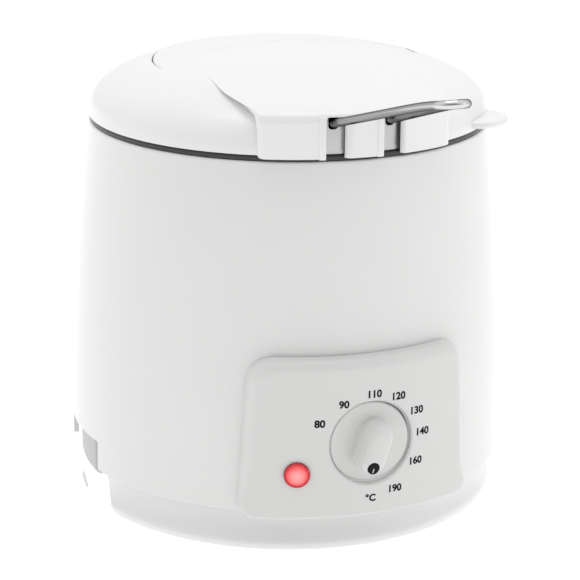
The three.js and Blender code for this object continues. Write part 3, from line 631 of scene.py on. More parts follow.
def block(low: Sequence[float], high: Sequence[float], radius: float, steps: int = 4) -> Surface:
    """A box with every edge and corner rounded.

    Each point of a cube's six gridded faces is drawn in to the smaller box that leaves out the radius, then
    moved out from it by the radius along the line between the two.

    Args:
        low: lowest corner.
        high: highest corner.
        radius: the edges' radius.
        steps: grid lines across each rounded edge.

    Returns:
        The closed surface.
    """
    low, high = np.array(low, float), np.array(high, float)
    sweep = 1.0 - np.cos(np.linspace(0.0, math.pi / 2.0, steps + 1))
    parts = []
    lines = [np.concatenate([lo + radius * sweep, hi - radius * sweep[::-1]]) for lo, hi in zip(low, high)]
    for axis in range(3):
        u, v = [a for a in range(3) if a != axis]
        for end, place in ((0, low[axis]), (1, high[axis])):
            a, b = np.meshgrid(lines[u], lines[v], indexing="ij")
            points = np.empty((*a.shape, 3))
            points[..., u], points[..., v], points[..., axis] = a, b, place
            if (end == 0) != (axis == 1):
                points = points[::-1]
            parts.append(Surface.grid(points))
    cube = Surface.joined(parts)
    core = np.clip(cube.points, low + radius, high - radius)
    away = cube.points - core
    length = np.linalg.norm(away, axis=1, keepdims=True)
    return Surface(core + away / np.maximum(length, 1e-9) * radius, cube.faces)


def combined(target: bpy.types.Mesh, steps: Sequence[tuple[Cut, bpy.types.Mesh]]) -> bpy.types.Mesh:
    """A closed mesh joined with or cut by others, in order.

    Args:
        target: the mesh to start from.
        steps: each change and the mesh that makes it.

    Returns:
        The new mesh.
    """
    scene = bpy.context.scene
    work = bpy.data.objects.new("work", target)
    scene.collection.objects.link(work)
    tools = []
    for cut, mesh in steps:
        tool = bpy.data.objects.new("tool", mesh)
        scene.collection.objects.link(tool)
        tools.append(tool)
        change = work.modifiers.new("cut", "BOOLEAN")
        change.operation, change.object, change.solver = cut.value, tool, "MANIFOLD"
    bpy.context.view_layer.update()
    graph = bpy.context.evaluated_depsgraph_get()
    result = bpy.data.meshes.new_from_object(work.evaluated_get(graph), depsgraph=graph)
    for thing in [work, *tools]:
        old = thing.data
        bpy.data.objects.remove(thing)
        if old.users == 0:
            bpy.data.meshes.remove(old)
    return result


def add_piece(name: str, shape: Surface | bpy.types.Mesh, finish: bpy.types.Material, body: Body,
              replaces: Sequence[str] = (), crease: float = 32.0) -> bpy.types.Object:
    """Adds a finished piece to the object.

    Args:
        name: the piece's name.
        shape: its surface or mesh.
        finish: its material.
        body: the body that it rides on.
        replaces: CAD nodes that it stands for.
        crease: edges that turn more than this angle, in degrees, are kept sharp.

    Returns:
        The object.
    """
    mesh = shape.mesh(name) if isinstance(shape, Surface) else shape
    mesh.name = name
    mesh.shade_smooth()
    mesh.set_sharp_from_angle(angle=math.radians(crease))
    mesh.materials.clear()
    mesh.materials.append(finish)
    thing = bpy.data.objects.new(name, mesh)
    bpy.context.scene.collection.objects.link(thing)
    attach(thing, body.value)
    if replaces:
        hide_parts(*replaces)
    log.info("%-20s %7d faces, rides on %s", name, len(mesh.polygons), body.value)
    return thing


# ------------------------------------------------------------------------------------------ housing and base
@dataclass
class Barrel:
    """The turned housing: widest at its foot and drawn in by the square of the height."""

    foot_z: float = 21.0
    top_z: float = 182.0
    foot_r: float = 105.2
    top_r: float = 95.1
    wall: float = 2.5
    lip_r: float = 88.6
    shoulder: float = 1.3
    notch: tuple[float, float] = (-101.0, -78.0)
    notch_top_z: float = 35.6
    notch_corner: float = 1.5
    rear_notch: tuple[float, float] = (-122.0, -100.5)
    rear_notch_top_z: float = 25.6
    boss_ring: float = 88.0
    boss_r: float = 5.0
    boss_z: tuple[float, float] = (5.8, 52.0)

    def radius(self, z: Array | float) -> Array:
        """Outer radius at a height: the foot's radius less the taper times the square of the share of height."""
        t = (np.asarray(z, float) - self.foot_z) / (self.top_z - self.foot_z)
        return self.foot_r - (self.foot_r - self.top_r) * t * t

    def shell(self) -> bpy.types.Mesh:
        """The housing's closed shell: outer side, rounded shoulder, lip and inner side, with the cord cut-out.

        Returns:
            The mesh.
        """
        z = np.linspace(self.foot_z + 0.8, self.top_z - self.shoulder * 1.4, 44)
        side = np.stack([self.radius(z), z], -1)
        inner = np.stack([self.radius(z) - self.wall, np.minimum(z, self.top_z - self.wall)], -1)[::-1]
        foot = rounded([(self.foot_r - self.wall, self.foot_z + 3.0), (self.foot_r - self.wall, self.foot_z, 0.5),
                        (self.foot_r, self.foot_z, 0.6), (self.foot_r, self.foot_z + 0.8)])
        top = rounded([(self.radius(z[-1]), z[-1]), (self.top_r, self.top_z, self.shoulder),
                       (self.lip_r, self.top_z, 0.4), (self.lip_r, self.top_z - self.wall, 0.4),
                       (self.radius(self.top_z) - self.wall - 1.0, self.top_z - self.wall)])
        profile = np.concatenate([foot[:-1], side, top[1:-1], inner[1:-2]])
        solid = Surface.turned(profile, 240, closed=True)
        steps = [(Cut.TAKE, self.notch_tool(*self.notch, self.notch_top_z)),
                 (Cut.TAKE, self.notch_tool(*self.rear_notch, self.rear_notch_top_z))]
        low, high = self.boss_z
        for angle in (45.0, -45.0, -135.0, 135.0):
            outline = rounded([(0, low), (self.boss_r, low, 0.5), (self.boss_r, high, 0.5), (0, high)])
            post = Surface.turned(outline, 32)
            steps.append((Cut.ADD, post.moved(y=-self.boss_ring).swung(angle).mesh("boss")))
            rib = block((-1.5, -self.foot_r + 1.0, self.foot_z + 9.0),
                        (1.5, 2.0 - self.boss_ring, high - 2.0), 0.5, 3)
            steps.append((Cut.ADD, rib.swung(angle).mesh("rib")))
            for start in (low - 1.0, high - 9.0):
                pilot = Surface.rod(1.4, start, start + 10, 20)
                steps.append((Cut.TAKE, pilot.moved(y=-self.boss_ring).swung(angle).mesh("pilot")))
        return combined(solid.mesh("outer_housing"), steps)

    def notch_tool(self, low: float, high: float, top_z: float) -> bpy.types.Mesh:
        """A cord cut-out's tool: a band of the barrel's side with rounded upper corners.

        Args:
            low: the angle it starts at, in degrees.
            high: the angle it ends at.
            top_z: its upper edge.

        Returns:
            The mesh.
        """
        reach = math.radians(high - low) / 2.0 * self.foot_r
        outline = rounded([(-reach, 5.0, 0), (reach, 5.0, 0), (reach, top_z, self.notch_corner),
                           (-reach, top_z, self.notch_corner)], closed=True, steps=8)
        return self.band(outline, (low + high) / 2.0, self.foot_r - 12.0, self.foot_r + 6.0).mesh("notch")

    def band(self, outline: Array, middle: float, inner: float, outer: float) -> Surface:
        """An outline of (distance round, z) wrapped on the barrel and carried from one radius to another."""
        centre = outline.mean(0)
        rings = [centre + (outline - centre) * share for share in (0.0, 1.0, 1.0, 0.0)]
        radii = [inner, inner, outer, outer]
        points = np.stack([polar(r, math.radians(middle) + ring[:, 0] / self.foot_r, ring[:, 1])
                           for ring, r in zip(rings, radii)])
        return Surface.grid(points, wrap_columns=True)


@dataclass
class Base:
    """The white base: a flared ring under the seam, a flat floor on a plinth, and the cord recess."""

    barrel: Barrel
    rim_r: float = 101.5
    spigot_r: float = 97.5
    spigot_top_z: float = 27.8
    wall: float = 2.5
    plinth_r: float = 60.0
    floor: float = 3.0
    lift: float = 2.5
    recess_r: float = 79.0
    gap_middle: float = -100.0
    gap_half: float = 22.0
    gap_foot: float = 8.0
    gap_curve: float = 5.0
    flare_power: float = 2.4

    def profile(self) -> Array:
        """Closed outline of the base: plinth, foot ring, bottom fillet, concave flare, spigot and inside."""
        r, s, w, lift = self.rim_r, self.spigot_r, self.wall, self.lift
        t = np.linspace(0.0, 1.0, 14)[1:-1]
        # the flare: spread out at the foot, and upright at the seam
        flare_r = s + 0.1 + (r - s - 0.1) * (1.0 - t) ** self.flare_power
        flare_z = 4.0 + (self.barrel.foot_z - 1.0 - 4.0) * t
        under = rounded([(0, 0), (self.plinth_r, 0, 0.8), (self.plinth_r + 2, lift, 0.6), (r - 9, lift, 0.6),
                         (r - 7, 0, 0.8), (r, 0, 2.4), (r, 4.0)], steps=6)
        inside = rounded([(s, self.spigot_top_z, 0.5), (s - w, self.spigot_top_z, 0.5), (s - w, 20),
                          (r - 4.2, 8, 2.0), (r - 5, lift + self.floor, 1.0), (self.plinth_r, lift + self.floor, 1),
                          (self.plinth_r - 2, self.floor, 1), (0, self.floor)], steps=4)
        start = np.array([[s, self.barrel.foot_z - 0.8]])
        return np.concatenate([under, np.stack([flare_r, flare_z], -1), start, inside])

    def mesh(self) -> bpy.types.Mesh:
        """The base with its recess, screw holes and vents.

        Returns:
            The mesh.
        """
        middle, half = math.radians(self.gap_middle), math.radians(self.gap_half)
        solid = Surface.turned(self.profile(), 240).mesh("base_pan")
        steps: list[tuple[Cut, bpy.types.Mesh]] = []
        room = self.sector(self.recess_r, self.rim_r - 6.0, middle, half + math.radians(2.0), self.lift + 0.2,
                           self.spigot_top_z)
        steps.append((Cut.ADD, room.mesh("room")))
        steps.append((Cut.TAKE, self.gap_tool().mesh("gap")))
        for number in range(5):
            slit = self.sector(66.0, 84.0, math.radians(168.0 + 5.0 * number), math.radians(1.2), -1.0, 9.0)
            steps.append((Cut.TAKE, slit.mesh("slit")))
        for angle in (45.0, 135.0, -135.0, -45.0):
            hole = Surface.rod(2.05, -1, 9, 24).moved(y=-self.barrel.boss_ring).swung(angle)
            steps.append((Cut.TAKE, hole.mesh("hole")))
        return combined(solid, steps)

    def gap_tool(self) -> Surface:
        """The recess's tool: narrow at the top of the base, and spread out by a power curve towards its foot."""
        share = np.linspace(0.0, 1.0, 19) ** 1.5
        height = self.barrel.foot_z * share
        edge = self.gap_half + self.gap_foot - (self.gap_curve + self.gap_foot) * share ** 0.6
        side = np.stack([np.radians(edge) * self.barrel.foot_r, height], -1)
        low = np.array([[side[0, 0], -4.0]])
        high = np.array([[side[-1, 0], self.spigot_top_z + 5.0]])
        right = np.concatenate([low, side, high])
        outline = np.concatenate([right, right[::-1] * np.array([-1.0, 1.0])])
        return self.barrel.band(outline, self.gap_middle, self.recess_r + self.wall, self.rim_r + 8.0)

    @staticmethod
    def sector(inner: float, outer: float, middle: float, half: float, low_z: float, high_z: float) -> Surface:
        """A closed upright band between two radii, two angles and two heights."""
        ring = np.array([(inner, low_z), (outer, low_z), (outer, high_z), (inner, high_z)], float)
        return Surface.arc(ring, np.linspace(middle - half, middle + half, 33))


@dataclass
class CordOutlet:
    """The box in the base's recess that the mains lead would leave by, and its gland; its grey is painted shade."""

    middle: float = -100.0
    half: float = 16.0
    inner_r: float = 82.0
    outer_r: float = 101.0
    low_z: float = 13.5
    high_z: float = 40.0
    end_round: float = 2.0

    def box(self) -> Surface:
        """A rounded section carried round the barrel, drawn in over its last few millimetres at each end.

        Returns:
            The closed surface.
        """
        section = rounded([(self.inner_r, self.low_z, 1.5), (self.outer_r, self.low_z, 4.0),
                           (self.outer_r, self.high_z, 2.0), (self.inner_r, self.high_z, 1.5)],
                          closed=True, steps=7)
        centre = np.array([(self.inner_r + self.outer_r) / 2.0, (self.low_z + self.high_z) / 2.0])
        quarter = np.radians(np.linspace(90.0, 0.0, 7))
        reach = math.radians(self.half) * self.outer_r
        bend = self.end_round * (1 - np.sin(quarter))
        place = np.concatenate([bend - reach, np.linspace(-reach + 4.0, reach - 4.0, 13), (reach - bend)[::-1]])
        inset = np.concatenate([self.end_round * (1 - np.cos(quarter)), np.zeros(13),
                                (self.end_round * (1 - np.cos(quarter)))[::-1]])
        half_size = np.array([(self.outer_r - self.inner_r) / 2.0, (self.high_z - self.low_z) / 2.0])
        rings = [centre + (section - centre) * (1.0 - gap / half_size) for gap in inset]
        rings = [np.repeat(centre[None], len(section), 0), *rings, np.repeat(centre[None], len(section), 0)]
        place = np.concatenate([place[:1], place, place[-1:]])
        points = np.stack([polar(ring[:, 0], math.radians(self.middle) + s / self.outer_r, ring[:, 1])
                           for ring, s in zip(rings, place)])
        return Surface.grid(points, wrap_columns=True)

    def gland(self) -> Surface:
        """The gland: a flanged, rounded bush round the lead's hole, square to the box's rear end."""
        profile = rounded([(3.5, -4.8, 0.3), (4.5, -4.8, 0.3), (4.5, 0.3, 0.3), (6.4, 0.3, 0.2), (6.4, 2.1, 0.8),
                           (3.5, 2.1, 0.9)], closed=True, steps=4)
        bush = Surface.turned(profile, 40, closed=True).swung(-90.0, "Y")
        centre_r = (self.inner_r + self.outer_r) / 2.0
        return bush.moved(y=-centre_r, z=(self.low_z + self.high_z) / 2.0).swung(self.middle - self.half)


# ------------------------------------------------------------------------------------------ control panel
@dataclass
class Panel:
    """The raised control panel: a curved face with rounded edges, the dial's well and a printed scale."""

    barrel: Barrel
    face_r: float = 112.0
    low_z: float = 20.1
    high_z: float = 95.0
    bottom: tuple[float, float] = (-57.0, 54.0)
    top: tuple[float, float] = (-52.0, 49.6)
    corner: float = 12.0
    low_corner: float = 5.5
    edge: float = 5.0
    low_edge: float = 1.4
    wall: float = 2.2
    dial_z: float = DIAL_Z
    well_r: float = 19.75
    well_shift: float = 0.6
    well_turn: float = 38.0
    well_slope: float = 0.9
    well_y: float = -105.6
    well_depth: float = 0.8
    shaft_r: float = 4.0

    def outline(self) -> Array:
        """The panel's front outline in (x, z), from straight sides and round corners."""
        (low_left, low_right), (left, right) = self.bottom, self.top
        return rounded([(low_left, self.low_z, self.low_corner), (low_right, self.low_z, self.low_corner),
                        (right, self.high_z, self.corner), (left, self.high_z, self.corner)],
                       closed=True, steps=24)

    def reach(self, angle: Array) -> Array:
        """Distance from the dial's centre to the outline along each direction: the crossed edge's own line.

        Args:
            angle: directions in the (x, z) plane, in radians.

        Returns:
            One distance a direction.
        """
        ring = self.outline() - np.array([0.0, self.dial_z])
        a, b = ring, np.roll(ring, -1, 0)
        ray = np.stack([np.cos(angle), np.sin(angle)], -1)
        edge = b - a
        cross = ray[:, None, 0] * edge[None, :, 1] - ray[:, None, 1] * edge[None, :, 0]
        cross = np.where(np.abs(cross) < 1e-9, 1e-9, cross)
        along = (a[None, :, 0] * edge[None, :, 1] - a[None, :, 1] * edge[None, :, 0]) / cross
        share = (a[None, :, 0] * ray[:, None, 1] - a[None, :, 1] * ray[:, None, 0]) / cross
        hit = (share >= -1e-6) & (share <= 1.0 + 1e-6) & (along > 0)
        return np.where(hit, along, np.inf).min(1)

    def inset(self, x: Array, z: Array) -> tuple[Array, Array]:
        """Distance from each point to the outline, and the rounding radius of the nearest edge.

        Args:
            x: sideways places.
            z: heights.

        Returns:
            The distances and the radii, the lower edge's being smaller.
        """
        ring = self.outline()
        a, b = ring, np.roll(ring, -1, 0)
        p = np.stack([x.ravel(), z.ravel()], -1)[:, None]
        along = np.clip(np.sum((p - a) * (b - a), -1) / np.maximum(np.sum((b - a) ** 2, -1), 1e-9), 0.0, 1.0)
        gap = np.linalg.norm(p - (a + along[..., None] * (b - a)), axis=-1).min(1).reshape(x.shape)
        radius = self.low_edge + (self.edge - self.low_edge) * smoothstep(z, self.low_z + 2.0, self.low_z + 16.0)
        return gap, radius

    def face_y(self, x: Array) -> Array:
        """The face's place: a circle of the face's radius about the barrel's axis."""
        return -np.sqrt(self.face_r ** 2 - x ** 2)

    def shell(self) -> Surface:
        """The panel's closed shell.

        Rays leave the dial's centre and end on the outline. Along each ray the skin runs from the shaft's hole
        over the well's floor, up its wall, over the face and round the edge, and then back to the barrel's side.
        The inner skin is the same one, drawn in towards the dial's centre and set back by the wall.

        Returns:
            The surface.
        """
        angle = np.linspace(0.0, 2.0 * math.pi, 320, endpoint=False)
        reach = self.reach(angle)[:, None]
        ray = np.stack([np.cos(angle), np.sin(angle)], -1)[:, None, :]
        # the well, whose middle lies a little up and to the right of the dial's
        well = self.well_r + self.well_shift * np.cos(angle - math.radians(self.well_turn))[:, None]
        rim = well + self.well_slope
        floor = np.concatenate([0.0 * well + self.shaft_r, well - 2.0, well - 0.5, well - 0.1, well], 1)
        slope = well + self.well_slope * np.linspace(0.0, 1.0, 6)[None, 1:]
        t = np.linspace(0.0, 1.0, 46)[1:]
        spread = 1.0 - (1.0 - t) ** 1.9  # rows crowd together towards the outline
        face = rim + (reach - rim) * spread[None, :]
        distance = np.concatenate([floor, slope, face], 1)
        x = distance * ray[..., 0]
        z = self.dial_z + distance * ray[..., 1]
        gap, radius = self.inset(x, z)
        drop = np.clip(radius - gap, 0.0, None)
        fillet = radius - np.sqrt(np.clip(radius ** 2 - drop ** 2, 0.0, None))
        y = self.face_y(x) + fillet
        inner = distance <= well + 1e-6
        y = np.where(inner, self.well_y, y)
        ramp = (distance - well) / self.well_slope
        depth = self.face_y(x) + self.well_depth - self.well_y
        lip = self.well_y + depth + (self.face_y(x) - self.well_y - depth) * np.clip(ramp, 0.0, 1.0)
        y = np.where(~inner & (distance < rim + 1e-6), lip, y)
        front = np.stack([x, y, z], -1)
        edge_x, edge_z, edge_y = x[:, -1:], z[:, -1:], y[:, -1:]
        home = -np.sqrt(np.clip(self.barrel.radius(edge_z) ** 2 - edge_x ** 2, 1.0, None)) - 0.3
        back = np.linspace(0.0, 1.0, 7)[1:][None, :]
        side = np.stack([edge_x + 0 * back, edge_y + (home - edge_y) * back, edge_z + 0 * back], -1)
        outer = np.concatenate([front, side], 1)
        # the inner skin: drawn in from the outline and back from the face by the wall
        shrink = np.clip((reach - self.wall) / reach, 0.0, 1.0)
        inner_face = outer[:, ::-1].copy()
        beyond = distance.shape[1]
        inner_face[..., 0] *= shrink
        inner_face[..., 2] = self.dial_z + (inner_face[..., 2] - self.dial_z) * shrink
        count = outer.shape[1] - beyond
        inner_face[:, count:, 1] += self.wall
        points = np.concatenate([outer, inner_face], 1)
        return Surface.grid(points, wrap_rows=True, wrap_columns=True)

    def print_text(self, words: str, height: float, x: float, z: float) -> bpy.types.Mesh:
        """A word printed on the face: thin letters laid flat, then bent onto the face's circle.

        Args:
            words: the letters.
            height: the capitals' height.
            x: sideways place of the middle.
            z: height of the middle.

        Returns:
            The mesh.
        """
        curve = bpy.data.curves.new("text", "FONT")
        curve.body = words
        curve.align_x, curve.align_y = "CENTER", "CENTER"
        curve.size = 1.0
        curve.offset = 0.034
        curve.extrude = 0.5
        curve.resolution_u = 6
        thing = bpy.data.objects.new("text", curve)
        bpy.context.scene.collection.objects.link(thing)
        bpy.context.view_layer.update()
        graph = bpy.context.evaluated_depsgraph_get()
        mesh = bpy.data.meshes.new_from_object(thing.evaluated_get(graph), depsgraph=graph)
        bpy.data.objects.remove(thing)
        co = np.empty(len(mesh.vertices) * 3, np.float32)
        mesh.vertices.foreach_get("co", co)
        co = co.reshape(-1, 3).astype(float)
        low, high = co.min(0), co.max(0)
        scale = height / (high[1] - low[1])
        middle = (low + high) / 2.0
        px = x + (co[:, 0] - middle[0]) * scale
        pz = z + (co[:, 1] - middle[1]) * scale
        py = self.face_y(px) - 0.04 - 0.04 * np.sign(co[:, 2])
        out = np.stack([px, py, pz], -1) * MM
        mesh.vertices.foreach_set("co", out.astype(np.float32).ravel())
        mesh.update()
        weld(mesh, 1e-6)
        return mesh

    def scale_marks(self) -> bpy.types.Mesh:
        """The dial's temperatures, each centred on its own direction from the dial, as one mesh."""
        marks = [("80", 155.0, 26.7), ("90", 124.0, 23.9), ("110", 87.0, 23.6), ("120", 58.0, 24.9),
                 ("130", 29.0, 26.2), ("140", 4.0, 26.4), ("160", -27.0, 25.8), ("190", -62.0, 26.4),
                 ("°C", -90.0, 26.2)]
        cap = 3.7
        work = bmesh.new()
        for words, degrees, radius in marks:
            turn = math.radians(degrees)
            mesh = self.print_text(words, cap, radius * math.cos(turn), self.dial_z + radius * math.sin(turn))
            work.from_mesh(mesh)
            bpy.data.meshes.remove(mesh)
        result = bpy.data.meshes.new("dial_scale")
        work.to_mesh(result)
        work.free()
        return result


@dataclass
class Dial:
    """The dial: a round disc with a raised bar grip, and a black dot with a light line set in the bar's end."""

    z: float = DIAL_Z
    r: float = 19.0
    back_y: float = -106.4
    face_y: float = -109.4
    front_y: float = -121.6
    off: float = -108.5
    length: float = 24.6
    width: float = 12.8
    shift: float = 0.7
    dot_r: float = 2.75
    dot_at: float = 8.7

    def set_to_off(self, part: Surface) -> Surface:
        """A part built with its axis along Z, laid along Y at the dial's height and turned to the off mark."""
        return part.swung(90.0, "X").swung(-self.off, "Y").moved(z=self.z)

    def disc(self) -> Surface:
        """The disc: a slightly dished plate with a rounded rim and the shaft's bore behind."""
        back, face = -self.back_y, -self.face_y
        profile = rounded([(3.3, back + 2.2), (3.3, back, 0.2), (self.r, back, 0.3), (self.r, face, 0.9),
                           (14.0, face - 0.35), (0.0, face - 0.1)], steps=6)
        profile = np.concatenate([[[0.0, back + 2.2]], profile])
        return self.set_to_off(Surface.turned(profile, 128))

    def bar(self) -> Surface:
        """The bar grip: a round-ended outline that narrows a little towards its crown, with a rounded top.

        The outline is a rounded bar. Each ring up the bar is that outline drawn in by a draft, by a small flare at
        the foot and by a quarter circle at the top, and the crown closes over with a slight swell.

        Returns:
            The closed surface.
        """
        r = self.width / 2.0
        half = self.length / 2.0 - r
        turn = np.linspace(-math.pi / 2.0, math.pi / 2.0, 33)
        right = np.stack([half + r * np.cos(turn), r * np.sin(turn)], -1)
        left = np.stack([-half - r * np.cos(turn), -r * np.sin(turn)], -1)
        top = np.linspace(half, -half, 9)[1:-1]
        side = np.full(7, r)
        ring = np.concatenate([right, np.stack([top, side], -1), left, np.stack([-top, -side], -1)])
        normal = np.stack([np.clip(np.abs(ring[:, 0]) - half, 0, None) * np.sign(ring[:, 0]), ring[:, 1]], -1)
        normal /= np.linalg.norm(normal, axis=1)[:, None]
        face, front = -self.face_y, -self.front_y
        edge, foot = 2.6, 0.5
        quarter = np.linspace(0.0, math.pi / 2.0, 10)
        fillet = face + foot * (1 - np.cos(quarter[:6] * 1.8 / 1.57)) * 0.6
        heights = np.concatenate([[face - 0.8, face - 0.2], fillet, np.linspace(face + 1.6, front - edge, 5)[1:],
                                  front - edge + edge * np.sin(quarter[1:])])
        flare = np.concatenate([[-foot, -foot], -foot * (1 - np.sin(quarter[:6])), np.zeros(4),
                                edge * (1 - np.cos(quarter[1:]))])
        flare[7:] = np.maximum(flare[7:], 0.0)
        draft = 0.09 * (heights - face)
        rings = [ring - normal * (inset + lean) for inset, lean in zip(flare, draft)]
        crown = [np.concatenate([rings[-1] * share, np.full((len(ring), 1), front + 0.25 * (1 - share ** 2))], 1)
                 for share in (0.75, 0.4, 0.0)]
        body = [np.concatenate([part, np.full((len(ring), 1), h)], 1) for part, h in zip(rings, heights)]
        base = np.concatenate([ring * 0.0, np.full((len(ring), 1), heights[0])], 1)
        bar = Surface.grid(np.stack([base, *body, *crown]), wrap_columns=True)
        return self.set_to_off(bar.moved(x=self.shift))

    def knob(self) -> bpy.types.Mesh:
        """The dial in one piece: disc and bar joined, with the dot's seat sunk in the bar."""
        front = -self.front_y
        seat = Surface.rod(self.dot_r + 0.15, front - 1.6, front + 2, 40).moved(x=self.dot_at)
        return combined(self.disc().mesh("control_knob"), [(Cut.ADD, self.bar().mesh("bar")),
                                                           (Cut.TAKE, self.set_to_off(seat).mesh("seat"))])

    def dot(self) -> Surface:
        """The black dot: a small domed plug."""
        front = -self.front_y
        profile = rounded([(0.0, front - 1.4), (self.dot_r, front - 1.4, 0.2), (self.dot_r, front + 0.1, 0.35),
                           (1.2, front + 0.22), (0.0, front + 0.24)], steps=5)
        return self.set_to_off(Surface.turned(profile, 40).moved(x=self.dot_at))

    def line(self) -> Surface:
        """The light line on the dot, pointing outwards."""
        front = -self.front_y
        x = self.dot_at
        return self.set_to_off(block((x - 0.1, -0.22, front + 0.1), (x + 1.9, 0.22, front + 0.36), 0.1, 3))


@dataclass
class Lens:
    """The neon lamp's red lens on the panel's face."""

    angle: float = -17.6
    z: float = 42.1
    r: float = 6.0
    face_r: float = 112.15

    def centre(self) -> tuple[float, float, float]:
        """The middle of the lens's front, in metres."""
        turn = math.radians(self.angle)
        out = (self.face_r + 1.6) * MM
        return (out * math.sin(turn), -out * math.cos(turn), self.z * MM)

    def cap(self) -> Surface:
        """The lens: a flat rim with a groove inside it and a low dome with concentric steps."""
        profile = rounded([(0, -5.5), (4.9, -5.5, 0.3), (4.9, -0.0), (self.r, 0.0, 0.1), (self.r, 1.0, 0.45),
                           (self.r - 0.75, 1.15, 0.2), (self.r - 1.0, 0.75, 0.2), (self.r - 1.35, 1.3, 0.3),
                           (3.3, 2.0, 2.0), (1.6, 2.35, 2.0), (0, 2.42)], steps=5)
        return Surface.turned(profile, 72).swung(90.0, "X").moved(y=-self.face_r, z=self.z).swung(self.angle)


# ------------------------------------------------------------------------------------------ bowl and basket
@dataclass
class Bowl:
    """The fixed oil bowl: a drawn can with a flat flange that shows as a dark line under the lid."""

    flange_z: float = 182.3
    top_z: float = 184.6
    rim_r: float = 94.7
    mouth_r: float = 86.0
    floor_r: float = 79.0
    floor_z: float = 80.8
    wall: float = 2.0
    corner: float = 12.0

    def shell(self) -> bpy.types.Mesh:
        """The closed bowl with its stud underneath."""
        w = self.wall
        profile = rounded([(0, self.floor_z - w), (self.floor_r + w * 0.6, self.floor_z - w, self.corner),
                           (self.mouth_r + w, self.flange_z, 0.4), (self.rim_r, self.flange_z, 0.5),
                           (self.rim_r, self.top_z, 0.9), (self.mouth_r, self.top_z, 1.6),
                           (self.floor_r, self.floor_z, self.corner - 1.5), (0, self.floor_z)], steps=8)
        bowl = Surface.turned(profile, 200)
        stud = Surface.turned(np.array([[0, 47.8], [2.6, 47.8], [3, 48.3], [3, 79.5], [0, 79.5]], float), 24)
        return combined(bowl.mesh("oil_bowl"), [(Cut.ADD, stud.mesh("stud"))])


@dataclass
class Basket:
    """The frying basket: bent wires in a round mesh, a rim wire and a drain rest."""

    rim_r: float = 75.6
    foot_r: float = 67.0
    low_z: float = 82.7
    top_z: float = 175.0
    corner: float = 6.0
    wire_r: float = 0.55
    uprights: int = 56
    rings: int = 17
    rim_ring_r: float = 77.0
    rim_wire_r: float = 1.6
    rim_z: float = 177.4

    def side(self) -> Array:
        """A wire's line in (radius, z) from near the floor's middle, round the corner and up to the rim."""
        return rounded([(14.0, self.low_z), (self.foot_r, self.low_z, self.corner), (self.rim_r, self.rim_z, 0)])

    def mesh_wires(self) -> Surface:
        """The woven body: uprights that run under the floor, level rings on them, and a floor of crossed wires.

        Returns:
            All wires as one surface.
        """
        parts = []
        line = self.side()
        spans = [np.linspace(start, end, 3, endpoint=False) for start, end in zip(line[:-1], line[1:])]
        fine = np.concatenate([*spans, line[-1:]])
        angles = np.linspace(0.0, 2.0 * math.pi, self.uprights, endpoint=False)
        for number, angle in enumerate(angles):
            start = 0 if number % 2 == 0 else 4
            path = polar(fine[start:, 0], np.full(len(fine) - start, angle), fine[start:, 1])
            parts.append(Surface.swept(path, self.wire_r, 6))
        turn = np.linspace(0.0, 2.0 * math.pi, 112, endpoint=False)
        weave = self.wire_r * 0.9
        first = self.low_z + self.corner + 1.0
        for level in range(self.rings):
            z = first + (self.top_z - first - 3.0) * level / (self.rings - 1)
            r = np.interp(z, line[:, 1], line[:, 0])
            wave = weave * np.cos(turn * self.uprights / 2.0 + math.pi * (level % 2))
            parts.append(Surface.swept(polar(r + wave, turn, z), self.wire_r, 5, closed=True))
        for radius in (14.0, 22.0, 30.0, 38.0, 46.0, 54.0, 62.0):
            parts.append(Surface.swept(polar(radius, turn, self.low_z + 0.9), self.wire_r, 5, closed=True))
        return Surface.joined(parts)

    def rim(self) -> Surface:
        """The thick wire round the basket's rim."""
        turn = np.linspace(0.0, 2.0 * math.pi, 160, endpoint=False)
        return Surface.swept(polar(self.rim_ring_r, turn, self.rim_z), self.rim_wire_r, 12, closed=True)

    def rest(self) -> Surface:
        """The drain rest: a bent wire loop at the front that hooks on the bowl's rim."""
        z, out, inner, half = 129.2, 79.6, 71.6, 13.0
        turn = np.radians(np.linspace(-half, half, 21))
        arc = polar(out, turn, z)
        ends = [polar(np.linspace(inner, out - 1.5, 6), math.radians(side), z) for side in (-half - 1, half + 1)]
        return Surface.swept(np.concatenate([ends[0], arc, ends[1][::-1]]), 1.2, 10)


